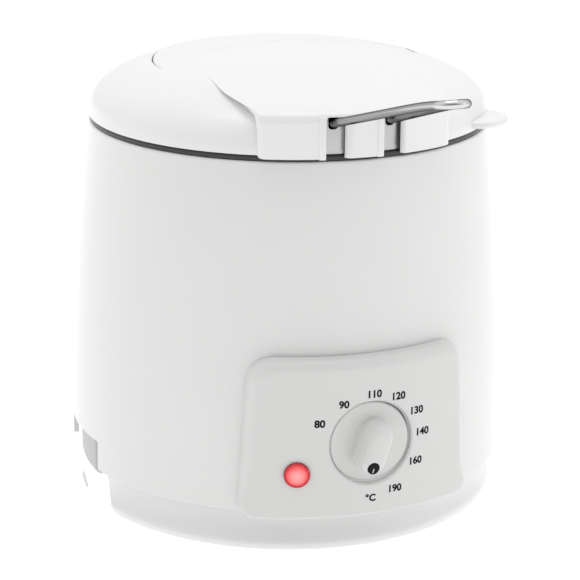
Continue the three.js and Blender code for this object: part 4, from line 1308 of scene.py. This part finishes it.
@dataclass
class Handle:
    """The handle: one chrome wire bent to a hairpin, with sprung ends that turn in the bracket's ears."""

    wire_r: float = 1.9
    half: float = LEG_X
    tip_half: float = 6.3
    pin_end: float = 20.6
    bend: float = 3.6
    pivot_y: float = -74.0
    slot_y: float = -96.0
    slot_z: float = 199.7
    knee_y: float = -177.0
    tip_y: float = -191.7
    slope: float = 0.3
    tip_slope: float = 0.21

    def height(self, y: Array) -> Array:
        """The wire's height at a place along Y: two slopes that meet in a soft knee."""
        y = np.asarray(y, float)
        soft = 9.0
        past = 0.5 * (np.sqrt((self.knee_y - y) ** 2 + soft ** 2) + (self.knee_y - y))
        return self.slot_z + self.slope * (self.slot_y - y) - (self.slope - self.tip_slope) * past

    def path(self) -> Array:
        """The wire's centre line from pin to pin.

        One leg runs from the pin round a tight bend and along the leg, which closes in evenly towards the tip. The
        tip is a half circle. The other leg is its mirror.

        Returns:
            The points.
        """
        start_y = self.tip_y + self.tip_half
        turn = np.linspace(0.0, math.pi / 2.0, 12)
        bend_x = self.half + self.bend - self.bend * np.sin(turn)
        bend_y = self.pivot_y - self.bend * (1 - np.cos(turn))
        pin = np.linspace(self.pin_end, self.half + self.bend, 6)[:-1]
        leg_y = np.linspace(self.pivot_y - self.bend - 1.0, start_y, 90)
        share = np.clip((self.slot_y - leg_y) / (self.slot_y - start_y), 0.0, 1.0)
        leg_x = self.half + (self.tip_half - self.half) * share
        around = np.linspace(0.0, math.pi / 2.0, 14)[1:]
        tip_x, tip_y = self.tip_half * np.cos(around), start_y - self.tip_half * np.sin(around)
        x = np.concatenate([pin, bend_x, leg_x, tip_x])
        y = np.concatenate([np.full(5, self.pivot_y), bend_y, leg_y, tip_y])
        right = np.stack([x, y, self.height(y)], -1)
        left = right[:-1][::-1] * np.array([-1.0, 1.0, 1.0])
        return np.concatenate([right, left])

    def wire(self) -> Surface:
        """The wire's surface."""
        return Surface.swept(self.path(), self.wire_r, 20)


@dataclass
class Bracket:
    """The satin steel bracket: a curved guard behind the lid's slots, a web, a tab down the bowl and two ears."""

    t: float = 1.2
    half: float = 18.4
    lid_z: float = 184.9
    guard_r: float = 93.6
    guard_half: float = 12.5
    guard_top_z: float = 198.3
    tongue_z: float = 201.6
    pivot_y: float = -74.0
    pivot_z: float = 193.1
    tab_y: float = -70.2
    tab_half: float = 16.0
    tab_drop: float = 26.0
    ear_top_z: float = 197.2
    notch_half: float = 2.2
    notch_z: float = 196.1

    def mesh(self) -> bpy.types.Mesh:
        """The bracket in one piece.

        Returns:
            The mesh.
        """
        r, t = self.guard_r, self.t
        half = math.radians(self.guard_half)
        ring = rounded([(r - t, self.lid_z, 0.2), (r, self.lid_z, 0.2), (r, self.guard_top_z, 0.5),
                        (r - t, self.guard_top_z, 0.5)], closed=True, steps=4)
        guard = Surface.arc(ring, np.linspace(-half, half, 41))
        z = self.lid_z
        web = block((-self.half, 1.4 - r + t, z), (self.half, self.pivot_y + 5.0, z + t), 0.35, 3)
        tab = block((-self.tab_half, self.tab_y, z - self.tab_drop),
                    (self.tab_half, self.tab_y + t, z + 0.8), 0.4, 3)
        steps = [(Cut.ADD, web.mesh("web")), (Cut.ADD, tab.mesh("tab"))]
        for side in (-1.0, 1.0):
            low, high = sorted((side * self.half, side * (self.half - 1.4)))
            ear = block((low, self.pivot_y - 5.0, z + 0.4), (high, self.pivot_y + 5.0, self.ear_top_z), 0.5, 3)
            steps.append((Cut.ADD, ear.mesh("ear")))
        for side in (-1.0, 1.0):
            middle = math.degrees(math.asin(side * LEG_X / r))
            tongue = block((-4.2, -r, z + 2.0), (4.2, t - r, self.tongue_z), 0.45, 3)
            steps.append((Cut.ADD, tongue.swung(middle).mesh("tongue")))
        for side in (-1.0, 1.0):
            x = side * LEG_X
            notch = block((x - self.notch_half, -r - 2, self.notch_z),
                          (x + self.notch_half, -r + 4, z + 30), 1.6, 6)
            steps.append((Cut.TAKE, notch.mesh("notch")))
        hole = Surface.rod(2.2, -22, 22, 32).swung(90.0, "Y")
        steps.append((Cut.TAKE, hole.moved(y=self.pivot_y, z=self.pivot_z).mesh("hole")))
        return combined(guard.mesh("handle_bracket"), steps)


# ------------------------------------------------------------------------------------------ lid
@dataclass
class Lid:
    """The domed lid: a dome with a straight-sided hood at the front, a lifting tab and a vent under a cover."""

    lid_z: float = 184.9
    r: float = 95.3
    rise: float = 34.5
    sink: float = 2.0
    power: float = 1.5
    wall: float = 2.5
    lobe_r: float = 97.6
    lobe_wall: float = 2.2
    lobe_drop: float = 1.2
    face_h: float = 17.0
    side_x: float = 45.3
    flare_x: float = 5.7
    flare_r: float = 70.0
    merge_r: float = 60.0
    slot_x: float = LEG_X
    slot_half: float = 4.6
    slot_top_z: float = 202.2
    slot_in: float = 9.6
    slot_round: float = 3.0
    lip: float = 3.0
    lip_proud: float = 0.45
    vent_r: float = 65.0
    vent_y: float = -5.0
    vent_middle: float = 24.0
    vent_recess: float = 2.8
    cover: float = 2.2
    crown: Sequence[tuple[float, float]] = field(default_factory=lambda: [
        (0.9, 1.8), (4.0, 3.2), (7.0, 4.0), (14.0, 5.4), (24.0, 7.2), (38.0, 9.4)])

    def dome_z(self, r: Array, offset: float = 0.0) -> Array:
        """Height of the dome: the rise times the cube root of one less the share of radius to a power."""
        share = np.clip(1.0 - (np.asarray(r, float) / (self.r - offset)) ** self.power, 0.0, None)
        return self.lid_z - self.sink + (self.rise - offset) * np.cbrt(share)

    def dome_line(self, t: Array, offset: float) -> Array:
        """The dome's profile as (radius, z) for shares t from the lower edge at 0 to the axis at 1."""
        edge = 0.16  # share of t that climbs the upright edge
        draft = 0.9  # how far the edge leans in
        r0 = self.r - offset
        crown = (r0 - draft) * np.cos((t - edge) / (1 - edge) * math.pi / 2.0)
        r = np.where(t < edge, r0 - draft * (t / edge) ** 2, crown)
        shoulder = self.dome_z(np.array(r0 - draft), offset)
        z = np.where(t < edge, self.lid_z + (shoulder - self.lid_z) * (t / edge), self.dome_z(r, offset))
        return np.stack([r, z], -1)

    def lobe_line(self, t: Array, offset: float) -> Array:
        """The hood's profile as (radius, z): an upright face, a rounded edge and a crown that meets the dome.

        The face climbs in a straight line. Past its top the crown follows a smooth curve through the crown's
        points, and inside the merging radius it is the dome itself.

        Args:
            t: shares from the lower edge at 0 to the axis at 1.
            offset: how far the profile is moved in.

        Returns:
            Rows of (radius, z).
        """
        r0 = self.lobe_r - offset
        top = self.lid_z - self.lobe_drop + self.face_h
        low = self.lid_z - self.lobe_drop
        knots_r = np.array([r0, *[r0 - inward for inward, _ in self.crown]])
        knots_z = np.array([top, *[top + up for _, up in self.crown]]) - offset
        keep = knots_r > self.merge_r + 4.0
        dome = self.dome_line(t, offset)
        face = 0.34
        # crown radii shrink with t as the dome's own do, so that both profiles meet at the merging radius
        start = float(np.interp(self.merge_r, dome[::-1, 0], t[::-1]))
        share = np.clip((t - face) / (start - face), 0.0, 1.0)
        r_crown = r0 - (r0 - self.merge_r) * (share ** 2.0 * 0.72 + share * 0.28)
        order = np.argsort(knots_r[keep])
        ks, zs = knots_r[keep][order], knots_z[keep][order]
        ks = np.concatenate([[self.merge_r - 6.0, self.merge_r], ks])
        zs = np.concatenate([self.dome_z(ks[:2], offset), zs])
        z_crown = smooth_through(ks, zs, r_crown)
        r = np.where(t <= face, r0, r_crown)
        z = np.where(t <= face, low + (knots_z[0] - low) * (t / face), z_crown)
        inside = t > start
        return np.where(inside[:, None], dome, np.stack([r, z], -1))

    def skin(self, offset: float, wall: float) -> Array:
        """The lid's outer or inner skin as a grid of points, rows from the lower edge to the axis.

        Each column has the dome's profile, the hood's profile, or a mix of them across the hood's side face. The
        columns bend with the hood's side, which runs straight back at first and then flares a little: the side's
        angle at a radius is the arc sine of its distance from the middle over the radius.

        Args:
            offset: how far the dome is moved in.
            wall: how far the hood is moved in.

        Returns:
            Rows by columns by 3.
        """
        t = np.concatenate([np.linspace(0.0, 0.34, 18), np.linspace(0.34, 0.48, 22)[1:],
                            np.linspace(0.48, 1.0, 44)[1:]])
        dome, hood = self.dome_line(t, offset), self.lobe_line(t, wall)
        # columns: s runs over [-1, 1] inside the hood and on to 2 at the back, crowded at the side face
        inside = np.linspace(0.0, 1.0, 60)
        inside = 1.0 - (1.0 - inside) ** 1.5
        outside = 1.0 + np.linspace(0.0, 1.0, 100)[1:] ** 1.8
        half = np.concatenate([inside, outside])
        s = np.concatenate([half, -half[1:-1][::-1]])
        radius = (dome[:, 0] + hood[:, 0])[:, None] / 2.0
        flare = smoothstep(self.lobe_r - radius, 6.0, self.lobe_r - self.flare_r)
        side_x = self.side_x - wall + self.flare_x * flare
        edge = np.arcsin(np.clip(side_x / np.maximum(radius, self.merge_r - 2.0), -1.0, 1.0))
        size = np.abs(s)[None, :]
        angle = np.where(size <= 1.0, edge * size, edge + (math.pi - edge) * (size - 1.0)) * np.sign(s)[None, :]
        gap = (edge - np.abs(angle)) * radius  # millimetres in from the side face
        rise = np.sqrt(np.clip(1.0 - (1.0 - np.clip((gap + 0.6) / 3.6, 0.0, 1.0)) ** 2, 0.0, 1.0))
        mix = np.where(gap > -0.6, rise, 0.0)[..., None]
        line = dome[:, None, :] * (1.0 - mix) + hood[:, None, :] * mix
        return polar(line[..., 0], angle, line[..., 1])

    def shell(self) -> bpy.types.Mesh:
        """The lid in one piece: outer and inner skins, tab, slots, and the vent's recess and slots.

        Returns:
            The mesh.
        """
        outer, inner = self.skin(0.0, 0.0), self.skin(self.wall, self.lobe_wall)
        closed = Surface.grid(np.concatenate([outer, inner[::-1]]), wrap_columns=True)
        count = outer.shape[1]
        first, last = np.arange(count), len(closed.points) - count + np.arange(count)
        rim = np.stack([first, np.roll(first, -1), np.roll(last, -1), last], -1)
        solid = Surface(closed.points, np.concatenate([closed.faces, rim[:, ::-1]]))
        steps = [(Cut.ADD, self.tab().mesh("tab"))]
        floor = self.vent_block(self.cover, self.vent_recess + self.cover + 1.0, self.vent_recess + 0.2)
        steps.append((Cut.ADD, floor.mesh("floor")))
        steps.append((Cut.TAKE, self.vent_block(0.0, self.vent_recess, -12.0).mesh("recess")))
        for side in (-1.0, 1.0):
            edge = side * self.slot_x - self.slot_half
            turn = math.degrees(math.asin((edge - self.lip / 2.0) / self.lobe_r))
            bar = block((-self.lip / 2.0, -self.lobe_r - self.lip_proud, self.lid_z - self.lobe_drop - 0.35),
                        (self.lip / 2.0 + 0.6, 4.0 - self.lobe_r, self.slot_top_z + 0.4), 0.55, 4)
            steps.append((Cut.ADD, bar.swung(turn).mesh("lip")))
            corner = side * self.slot_x + self.slot_half
            face = -math.sqrt(self.lobe_r ** 2 - (corner + 1.5) ** 2) - 0.05
            steps.append((Cut.TAKE, self.corner_tool(corner, face).mesh("corner")))
        for side in (-1.0, 1.0):
            x = side * self.slot_x
            tool = block((x - self.slot_half, -120.0, 150.0), (x + self.slot_half, self.slot_in - self.lobe_r,
                                                              self.slot_top_z), 1.7, 8)
            steps.append((Cut.TAKE, tool.mesh("slot")))
        for number in range(4):
            y = 14.0 + 8.0 * number
            tool = block((-30.0, y, 180.0), (30.0, y + 4.0, 240.0), 1.9, 5)
            steps.append((Cut.TAKE, tool.mesh("vent_slot")))
        return combined(solid.mesh("lid_shell"), steps)

    def corner_tool(self, x: float, y: float) -> Surface:
        """The tool that rounds a slot's right-hand corner: an upright prism with a hollow quarter circle.

        Args:
            x: the slot's right side.
            y: the face's place there.

        Returns:
            The closed prism.
        """
        r = self.slot_round
        turn = np.linspace(-math.pi / 2.0, -math.pi, 11)
        arc = np.stack([x + r + r * np.cos(turn), y + r + r * np.sin(turn)], -1)
        ring = np.concatenate([[[x - 1.0, y - 3.0], [x + r, y - 3.0]], arc, [[x - 1.0, y + r]]])
        middle = np.array([[x - 0.2, y - 0.2]])
        rings = [np.repeat(middle, len(ring), 0), ring, ring, np.repeat(middle, len(ring), 0)]
        heights = [self.lid_z - 8.0, self.lid_z - 8.0, self.slot_top_z - 0.9, self.slot_top_z - 0.9]
        return Surface.grid(np.stack([np.concatenate([flat, np.full((len(ring), 1), h)], 1)
                                      for flat, h in zip(rings, heights)]), wrap_columns=True)

    def tab(self) -> Surface:
        """The lifting tab: a thin tongue with a half-oval end and rounded edges, at the right of the front.

        Returns:
            The closed surface.
        """
        turn = np.linspace(math.pi, 2.0 * math.pi, 61)
        oval = np.stack([15.0 * np.cos(turn), -93.3 + 14.0 * np.sin(turn)], -1)
        root = np.array([[15.0, -89.5], [9.0, -89.5], [0.0, -89.5], [-9.0, -89.5], [-15.0, -89.5]])
        ring = np.concatenate([oval, root])
        centre = np.array([0.0, -93.0])
        low, t, edge = self.lid_z + 1.0, 3.4, 1.5
        quarter = np.linspace(0.0, math.pi / 2.0, 6)
        heights = np.concatenate([low + edge * (1 - np.cos(quarter)), low + t - edge * (1 - np.sin(quarter))])
        inset = np.concatenate([edge * (1 - np.sin(quarter)), edge * (1 - np.cos(quarter))])
        away = ring - centre
        away /= np.linalg.norm(away, axis=1)[:, None]
        rings = [np.concatenate([ring - away * gap, np.full((len(ring), 1), h)], 1)
                 for gap, h in zip(inset, heights)]
        under = np.concatenate([np.repeat(centre[None], len(ring), 0), np.full((len(ring), 1), low)], 1)
        over = under + np.array([0.0, 0.0, t])
        return Surface.grid(np.stack([under, *rings, over]), wrap_columns=True).swung(51.0)

    def vent_outline(self, margin: float) -> Array:
        """The vent's D outline in (x, y): a straight front and a round back, with small front corners."""
        r, y = self.vent_r + margin, self.vent_y - margin
        half = math.sqrt(r * r - y * y)
        start = math.asin(y / r)
        turn = np.linspace(start, math.pi - start, 120)
        arc = np.stack([r * np.cos(turn), r * np.sin(turn)], -1)
        front = np.stack([np.linspace(-half, half, 42)[1:-1], np.full(40, y)], -1)
        return np.concatenate([arc, front])

    def vent_block(self, margin: float, low: float, high: float) -> Surface:
        """A D-shaped slab between two depths under the dome's surface, measured straight down.

        Args:
            margin: how far the outline is moved out.
            low: depth of the slab's underside.
            high: depth of its top, which is negative above the dome.

        Returns:
            The closed surface.
        """
        ring = self.vent_outline(margin)
        centre = np.array([0.0, self.vent_middle])
        shares = np.linspace(0.0, 1.0, 20)
        flat = centre + (ring - centre)[None] * shares[:, None, None]
        z = self.dome_z(np.linalg.norm(flat, axis=-1))
        under = np.concatenate([flat, (z - low)[..., None]], -1)
        over = np.concatenate([flat, (z - high)[..., None]], -1)[::-1]
        return Surface.grid(np.concatenate([under, over]), wrap_columns=True)


@dataclass
class VentCover:
    """The vent's cover: a D-shaped cap that follows the dome and lifts slightly towards the back."""

    lid: Lid
    inset: float = 0.6
    edge: float = 1.1
    tilt: float = 0.8
    ridge_y: float = 6.5
    ridge: float = 0.45

    def cap(self) -> Surface:
        """The closed cap.

        Rings shrink from the D outline to its middle. The top follows the dome, falls by a quarter circle at the
        outline, and steps down a little in front of a straight ridge. The underside is a fixed thickness below.
        The whole cap is then tilted about its front edge.

        Returns:
            The surface.
        """
        ring = self.lid.vent_outline(-self.inset)
        centre = np.array([0.0, self.lid.vent_middle])
        depth = np.linalg.norm(ring - centre, axis=1)
        quarter = np.linspace(0.0, math.pi / 2.0, 7)
        near = self.edge * (1.0 - np.cos(quarter))
        wide = np.linspace(0.0, 1.0, 46)[1:]
        flat_rows, drops = [], []
        for gap, lift in zip(near, self.edge * (1.0 - np.sin(quarter))):
            flat_rows.append(centre + (ring - centre) * (1.0 - gap / depth)[:, None])
            drops.append(lift)
        inner = flat_rows[-1]
        for share in wide:
            flat_rows.append(centre + (inner - centre) * (1.0 - share))
            drops.append(0.0)
        flat = np.stack(flat_rows)
        drop = np.array(drops)[:, None]
        r = np.linalg.norm(flat, axis=-1)
        step = self.ridge * (1.0 - smoothstep(flat[..., 1], self.ridge_y - 0.5, self.ridge_y + 0.5))
        top = self.lid.dome_z(r) - drop - step
        under = self.lid.dome_z(r) - self.lid.cover - 0.5
        upper = np.concatenate([flat, top[..., None]], -1)
        lower = np.concatenate([flat[:1], under[:1][..., None]], -1)
        floor = np.concatenate([flat[::4], under[::4][..., None]], -1)[1:]
        middle = np.concatenate([flat[-1:], under[-1:][..., None]], -1)
        points = np.concatenate([upper[::-1], lower, floor, middle])
        pivot = np.array([0.0, self.lid.vent_y, float(self.lid.dome_z(np.array(-self.lid.vent_y)))])
        turn = np.array(Matrix.Rotation(math.radians(self.tilt), 3, "X"))
        closed = Surface.grid(points, wrap_columns=True)
        return closed.mapped(lambda p: (p - pivot) @ turn.T + pivot)


@dataclass
class LidInside:
    """The lid's lower parts: a silicone seal and a pressed baffle plate with steam holes."""

    lid: Lid
    seal_width: float = 3.4
    seal_h: float = 2.7
    gap: float = 17.0
    baffle_r: float = 63.0
    baffle_z: float = 197.6
    t: float = 1.2

    def seal(self) -> Surface:
        """The seal: a lipped section carried round the rim, open at the front for the handle."""
        r = self.lid.r - self.lid.wall - 0.9
        low = self.lid.lid_z
        inner, high = r - self.seal_width, low + self.seal_h
        section = rounded([(inner, low, 0.9), (r - 1.6, low + 0.2, 0.3), (r, low, 0.4), (r, high, 0.6),
                           (inner, high, 0.8)], closed=True, steps=4)
        return Surface.arc(section, np.radians(np.linspace(self.gap, 360.0 - self.gap, 181)))

    def baffle(self) -> bpy.types.Mesh:
        """The baffle: a thin plate with a rounded rim, a pressed ring and eight steam holes."""
        r, z, t = self.baffle_r, self.baffle_z, self.t
        profile = rounded([(0, z), (26, z), (28, z + 0.35, 1), (31, z + 0.35, 1), (33, z, 1), (r, z, 0.4),
                           (r, z + t, 0.4), (33, z + t), (0, z + t)], steps=3)
        steps = []
        for number in range(8):
            hole = Surface.rod(4, z - 1, z + 3, 32)
            steps.append((Cut.TAKE, hole.moved(y=-44.0).swung(45.0 * number).mesh("hole")))
        for angle in (60.0, 180.0, -60.0):
            hole = Surface.rod(2.05, z - 1, z + 3, 24)
            steps.append((Cut.TAKE, hole.moved(y=-57.0).swung(angle).mesh("hole")))
        return combined(Surface.turned(profile, 120).mesh("lid_baffle"), steps)


def smooth_through(x: Array, y: Array, at: Array) -> Array:
    """A smooth curve through points, by cubic pieces whose slopes are the neighbours' mean slopes.

    Args:
        x: places, rising.
        y: values there.
        at: where the curve is wanted.

    Returns:
        The curve's values.
    """
    slope = np.gradient(y, x)
    i = np.clip(np.searchsorted(x, at) - 1, 0, len(x) - 2)
    h = x[i + 1] - x[i]
    t = np.clip((at - x[i]) / h, 0.0, 1.0)
    a = (1 + 2 * t) * (1 - t) ** 2 * y[i] + t * (1 - t) ** 2 * h * slope[i]
    return a + t * t * (3 - 2 * t) * y[i + 1] + t * t * (t - 1) * h * slope[i + 1]


# ------------------------------------------------------------------------------------------ feet
def foot_pad() -> Surface:
    """A rubber foot: a round pad with a rounded lower edge and a shallow dish under it."""
    profile = rounded([(0, -1.1), (4.5, -1.1, 0.3), (5.2, -1.5, 0.3), (8.0, -1.5, 0.9), (8.0, 2.2, 0.3),
                       (0, 2.2)], steps=4)
    return Surface.turned(profile, 48)


# ------------------------------------------------------------------------------------------ studio
@dataclass
class Studio:
    """The pale floor, the soft lights and the camera."""

    eye: tuple[float, float, float] = (-0.35716, -0.96025, 0.41079)
    turn: float = 20.5
    pitch: float = 17.168
    roll: float = 0.587
    lens_mm: float = 135.72
    floor_z: float = -0.0015
    horizon: float = 0.86
    zenith: float = 0.26
    dim: float = 0.70
    dim_turn: float = -24.0
    floor_glow: float = 1.30

    def camera(self) -> None:
        """Adds the camera, looking at the front from a little to the left and above."""
        yaw, pitch = math.radians(self.turn), math.radians(self.pitch)
        ahead = Vector((math.sin(yaw) * math.cos(pitch), math.cos(yaw) * math.cos(pitch), -math.sin(pitch)))
        data = bpy.data.cameras.new("camera")
        data.lens, data.sensor_width, data.clip_start = self.lens_mm, 36.0, 0.01
        camera = bpy.data.objects.new("camera", data)
        bpy.context.scene.collection.objects.link(camera)
        camera.location = self.eye
        facing = ahead.to_track_quat("-Z", "Y").to_matrix()
        tilt = Matrix.Rotation(math.radians(self.roll), 3, "Z")
        camera.rotation_euler = (facing @ tilt).to_euler()
        bpy.context.scene.camera = camera

    def floor(self) -> None:
        """Adds a wide pale floor with a faint mottling."""
        half = 6.0
        corners = np.array([[-half, -half], [half, -half], [half, half], [-half, half]])
        mesh = bpy.data.meshes.new("floor")
        mesh.from_pydata([(x, y, self.floor_z) for x, y in corners], [], [(0, 1, 2, 3)])
        floor = bpy.data.objects.new("floor", mesh)
        bpy.context.scene.collection.objects.link(floor)
        r = Recipe("studio_floor")
        cloud = r.noise(3.0, 2.0)
        pale = r.tint(cloud, (0.54, 0.54, 0.54), (0.56, 0.56, 0.56))
        mesh.materials.append(r.surface(Base_Color=pale, Roughness=0.6 + 0.1 * cloud, Emission_Color=pale,
                                        Emission_Strength=self.floor_glow))
        floor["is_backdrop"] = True

    def light(self, name: str, place: Sequence[float], size: float, power: float,
              aim: Sequence[float] = (0, 0, 0.11)) -> None:
        """Adds a square soft light that points at a place.

        Args:
            name: its name.
            place: where it hangs, in metres.
            size: its width, in metres.
            power: its power, in watts.
            aim: what it points at.
        """
        data = bpy.data.lights.new(name, "AREA")
        data.energy, data.size = power, size
        lamp = bpy.data.objects.new(name, data)
        lamp.location = place
        lamp.rotation_euler = (Vector(aim) - Vector(place)).to_track_quat("-Z", "Y").to_euler()
        bpy.context.scene.collection.objects.link(lamp)

    def lights(self) -> None:
        """Adds the sky, which is darker on one side, the overhead softbox and a weak side light."""
        world = bpy.data.worlds.new("studio")
        world.use_nodes = True
        sky, back = Nodes(world.node_tree), world.node_tree.nodes["Background"]
        yaw = math.radians(self.dim_turn)
        way = sky.node("TexCoord", outlet="Generated")
        height = sky.node("SeparateXYZ", outlet="Z", i0=way).math("MAXIMUM", 0.0)
        dark_side = (math.sin(yaw), -math.cos(yaw), 0.0)
        toward = sky.node("VectorMath", {"operation": "DOT_PRODUCT"}, outlet="Value", i0=way, i1=dark_side)
        toward = toward.math("MAXIMUM", 0.0)
        plug(sky.tree, back.inputs["Color"], (1.0, 1.0, 1.0, 1.0))
        plug(sky.tree, back.inputs["Strength"], self.horizon + self.zenith * height - self.dim * toward ** 2.0)
        bpy.context.scene.world = world
        bpy.context.scene.view_settings.view_transform = "Standard"
        self.light("overhead", (0.0, 0.05, 1.6), 0.9, 4.5)
        self.light("right_side", (1.2, -0.9, 0.5), 0.6, 0.5)


# ------------------------------------------------------------------------------------------ assembly
def dress_cad(finishes: Finishes) -> None:
    """Gives each CAD node that still shows its procedural finish."""
    zinc, steel = finishes.zinc, finishes.satin_steel
    plan = {
        "thermostat_shaft": finishes.brass, "thermostat_body": finishes.phenolic, "thermostat_bracket": zinc,
        "thermostat_screw_1": zinc, "thermostat_screw_2": zinc, "neon_clip": zinc, "neon_lamp": finishes.glass,
        "heating_element": finishes.sheath, "element_clamp_plate": steel, "heat_reflector": finishes.aluminium,
        "clamp_nut": zinc, "bridge_nut": zinc, "thermal_cutout": finishes.black, "support_bridge": zinc,
        "bridge_screw_1": zinc, "bridge_screw_2": zinc, "sensor_bulb": finishes.brass,
        "capillary_tube": finishes.brass,
        "terminal_block": finishes.satin_white_and_painted_shade, "steam_filter": finishes.foam,
    }
    plan |= {f"base_screw_{n}": zinc for n in range(1, 5)} | {f"baffle_screw_{n}": zinc for n in range(1, 4)}
    for node, finish in plan.items():
        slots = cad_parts[node].data.materials
        slots.clear()
        slots.append(finish)


def build() -> None:
    """Builds every piece of the fryer in order."""
    studio = Studio()
    studio.camera()
    barrel, lens, dial = Barrel(), Lens(), Dial()
    finishes = Finishes(lens.centre(), lens.r * MM)
    base, outlet, panel = Base(barrel), CordOutlet(), Panel(barrel)
    bowl, basket, handle, bracket = Bowl(), Basket(), Handle(), Bracket()
    lid = Lid()
    cover, inside = VentCover(lid), LidInside(lid)

    add_piece("housing", barrel.shell(), finishes.white, Body.BASE, ["outer_housing"])
    # the base's finish is a lighter white that paints in the light on its flare
    add_piece("base", base.mesh(), finishes.base_white_painted_light, Body.BASE, ["base_pan"])
    # the outlet box's grey finish is painted shade for the base's recess
    add_piece("outlet_box", outlet.box(), finishes.satin_white_and_painted_shade, Body.BASE, ["cord_outlet_box"])
    add_piece("outlet_gland", outlet.gland(), finishes.black, Body.BASE, ["cord_gland"])
    add_piece("panel", panel.shell(), finishes.panel_white, Body.BASE, ["control_panel"])
    add_piece("dial_scale", panel.scale_marks(), finishes.ink, Body.BASE)
    add_piece("dial_knob", dial.knob(), finishes.panel_white, Body.DIAL, ["control_knob"])
    add_piece("dial_dot", dial.dot(), finishes.black, Body.DIAL, ["knob_pointer"])
    add_piece("dial_line", dial.line(), finishes.white, Body.DIAL)
    add_piece("lamp_lens", lens.cap(), finishes.lens, Body.BASE, ["neon_lens"])
    add_piece("bowl", bowl.shell(), finishes.non_stick, Body.BASE, ["oil_bowl"])
    for number, angle in enumerate((45.0, -45.0, -135.0, 135.0), 1):
        pad = foot_pad().moved(y=-75.0).swung(angle)
        add_piece(f"foot_pad_{number}", pad, finishes.rubber, Body.BASE, [f"rubber_foot_{number}"])
    add_piece("basket_mesh", basket.mesh_wires(), finishes.chrome, Body.BASKET, ["basket"], 70.0)
    add_piece("basket_rim", basket.rim(), finishes.chrome, Body.BASKET, ["basket_rim_wire"])
    add_piece("basket_rest", basket.rest(), finishes.chrome, Body.BASKET, ["drain_rest"])
    add_piece("bracket", bracket.mesh(), finishes.satin_steel, Body.BASKET, ["handle_bracket"])
    add_piece("handle_wire", handle.wire(), finishes.chrome, Body.HANDLE, ["basket_handle"], 60.0)
    add_piece("lid", lid.shell(), finishes.lid_white, Body.LID, ["lid_shell"])
    add_piece("lid_vent_cover", cover.cap(), finishes.lid_white, Body.LID, ["vent_cover"])
    add_piece("lid_rim_seal", inside.seal(), finishes.silicone, Body.LID, ["lid_seal"])
    add_piece("lid_baffle_plate", inside.baffle(), finishes.aluminium, Body.LID, ["lid_baffle"])
    dress_cad(finishes)
    studio.floor()
    studio.lights()


def main() -> None:
    """Builds the fryer."""
    build()
    low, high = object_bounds()
    corners = (CAD_LOW, CAD_HIGH, low, high)
    log.info("cad %s to %s, visual %s to %s", *[tuple(round(v, 4) for v in corner) for corner in corners])


if __name__ == "__main__":
    main()
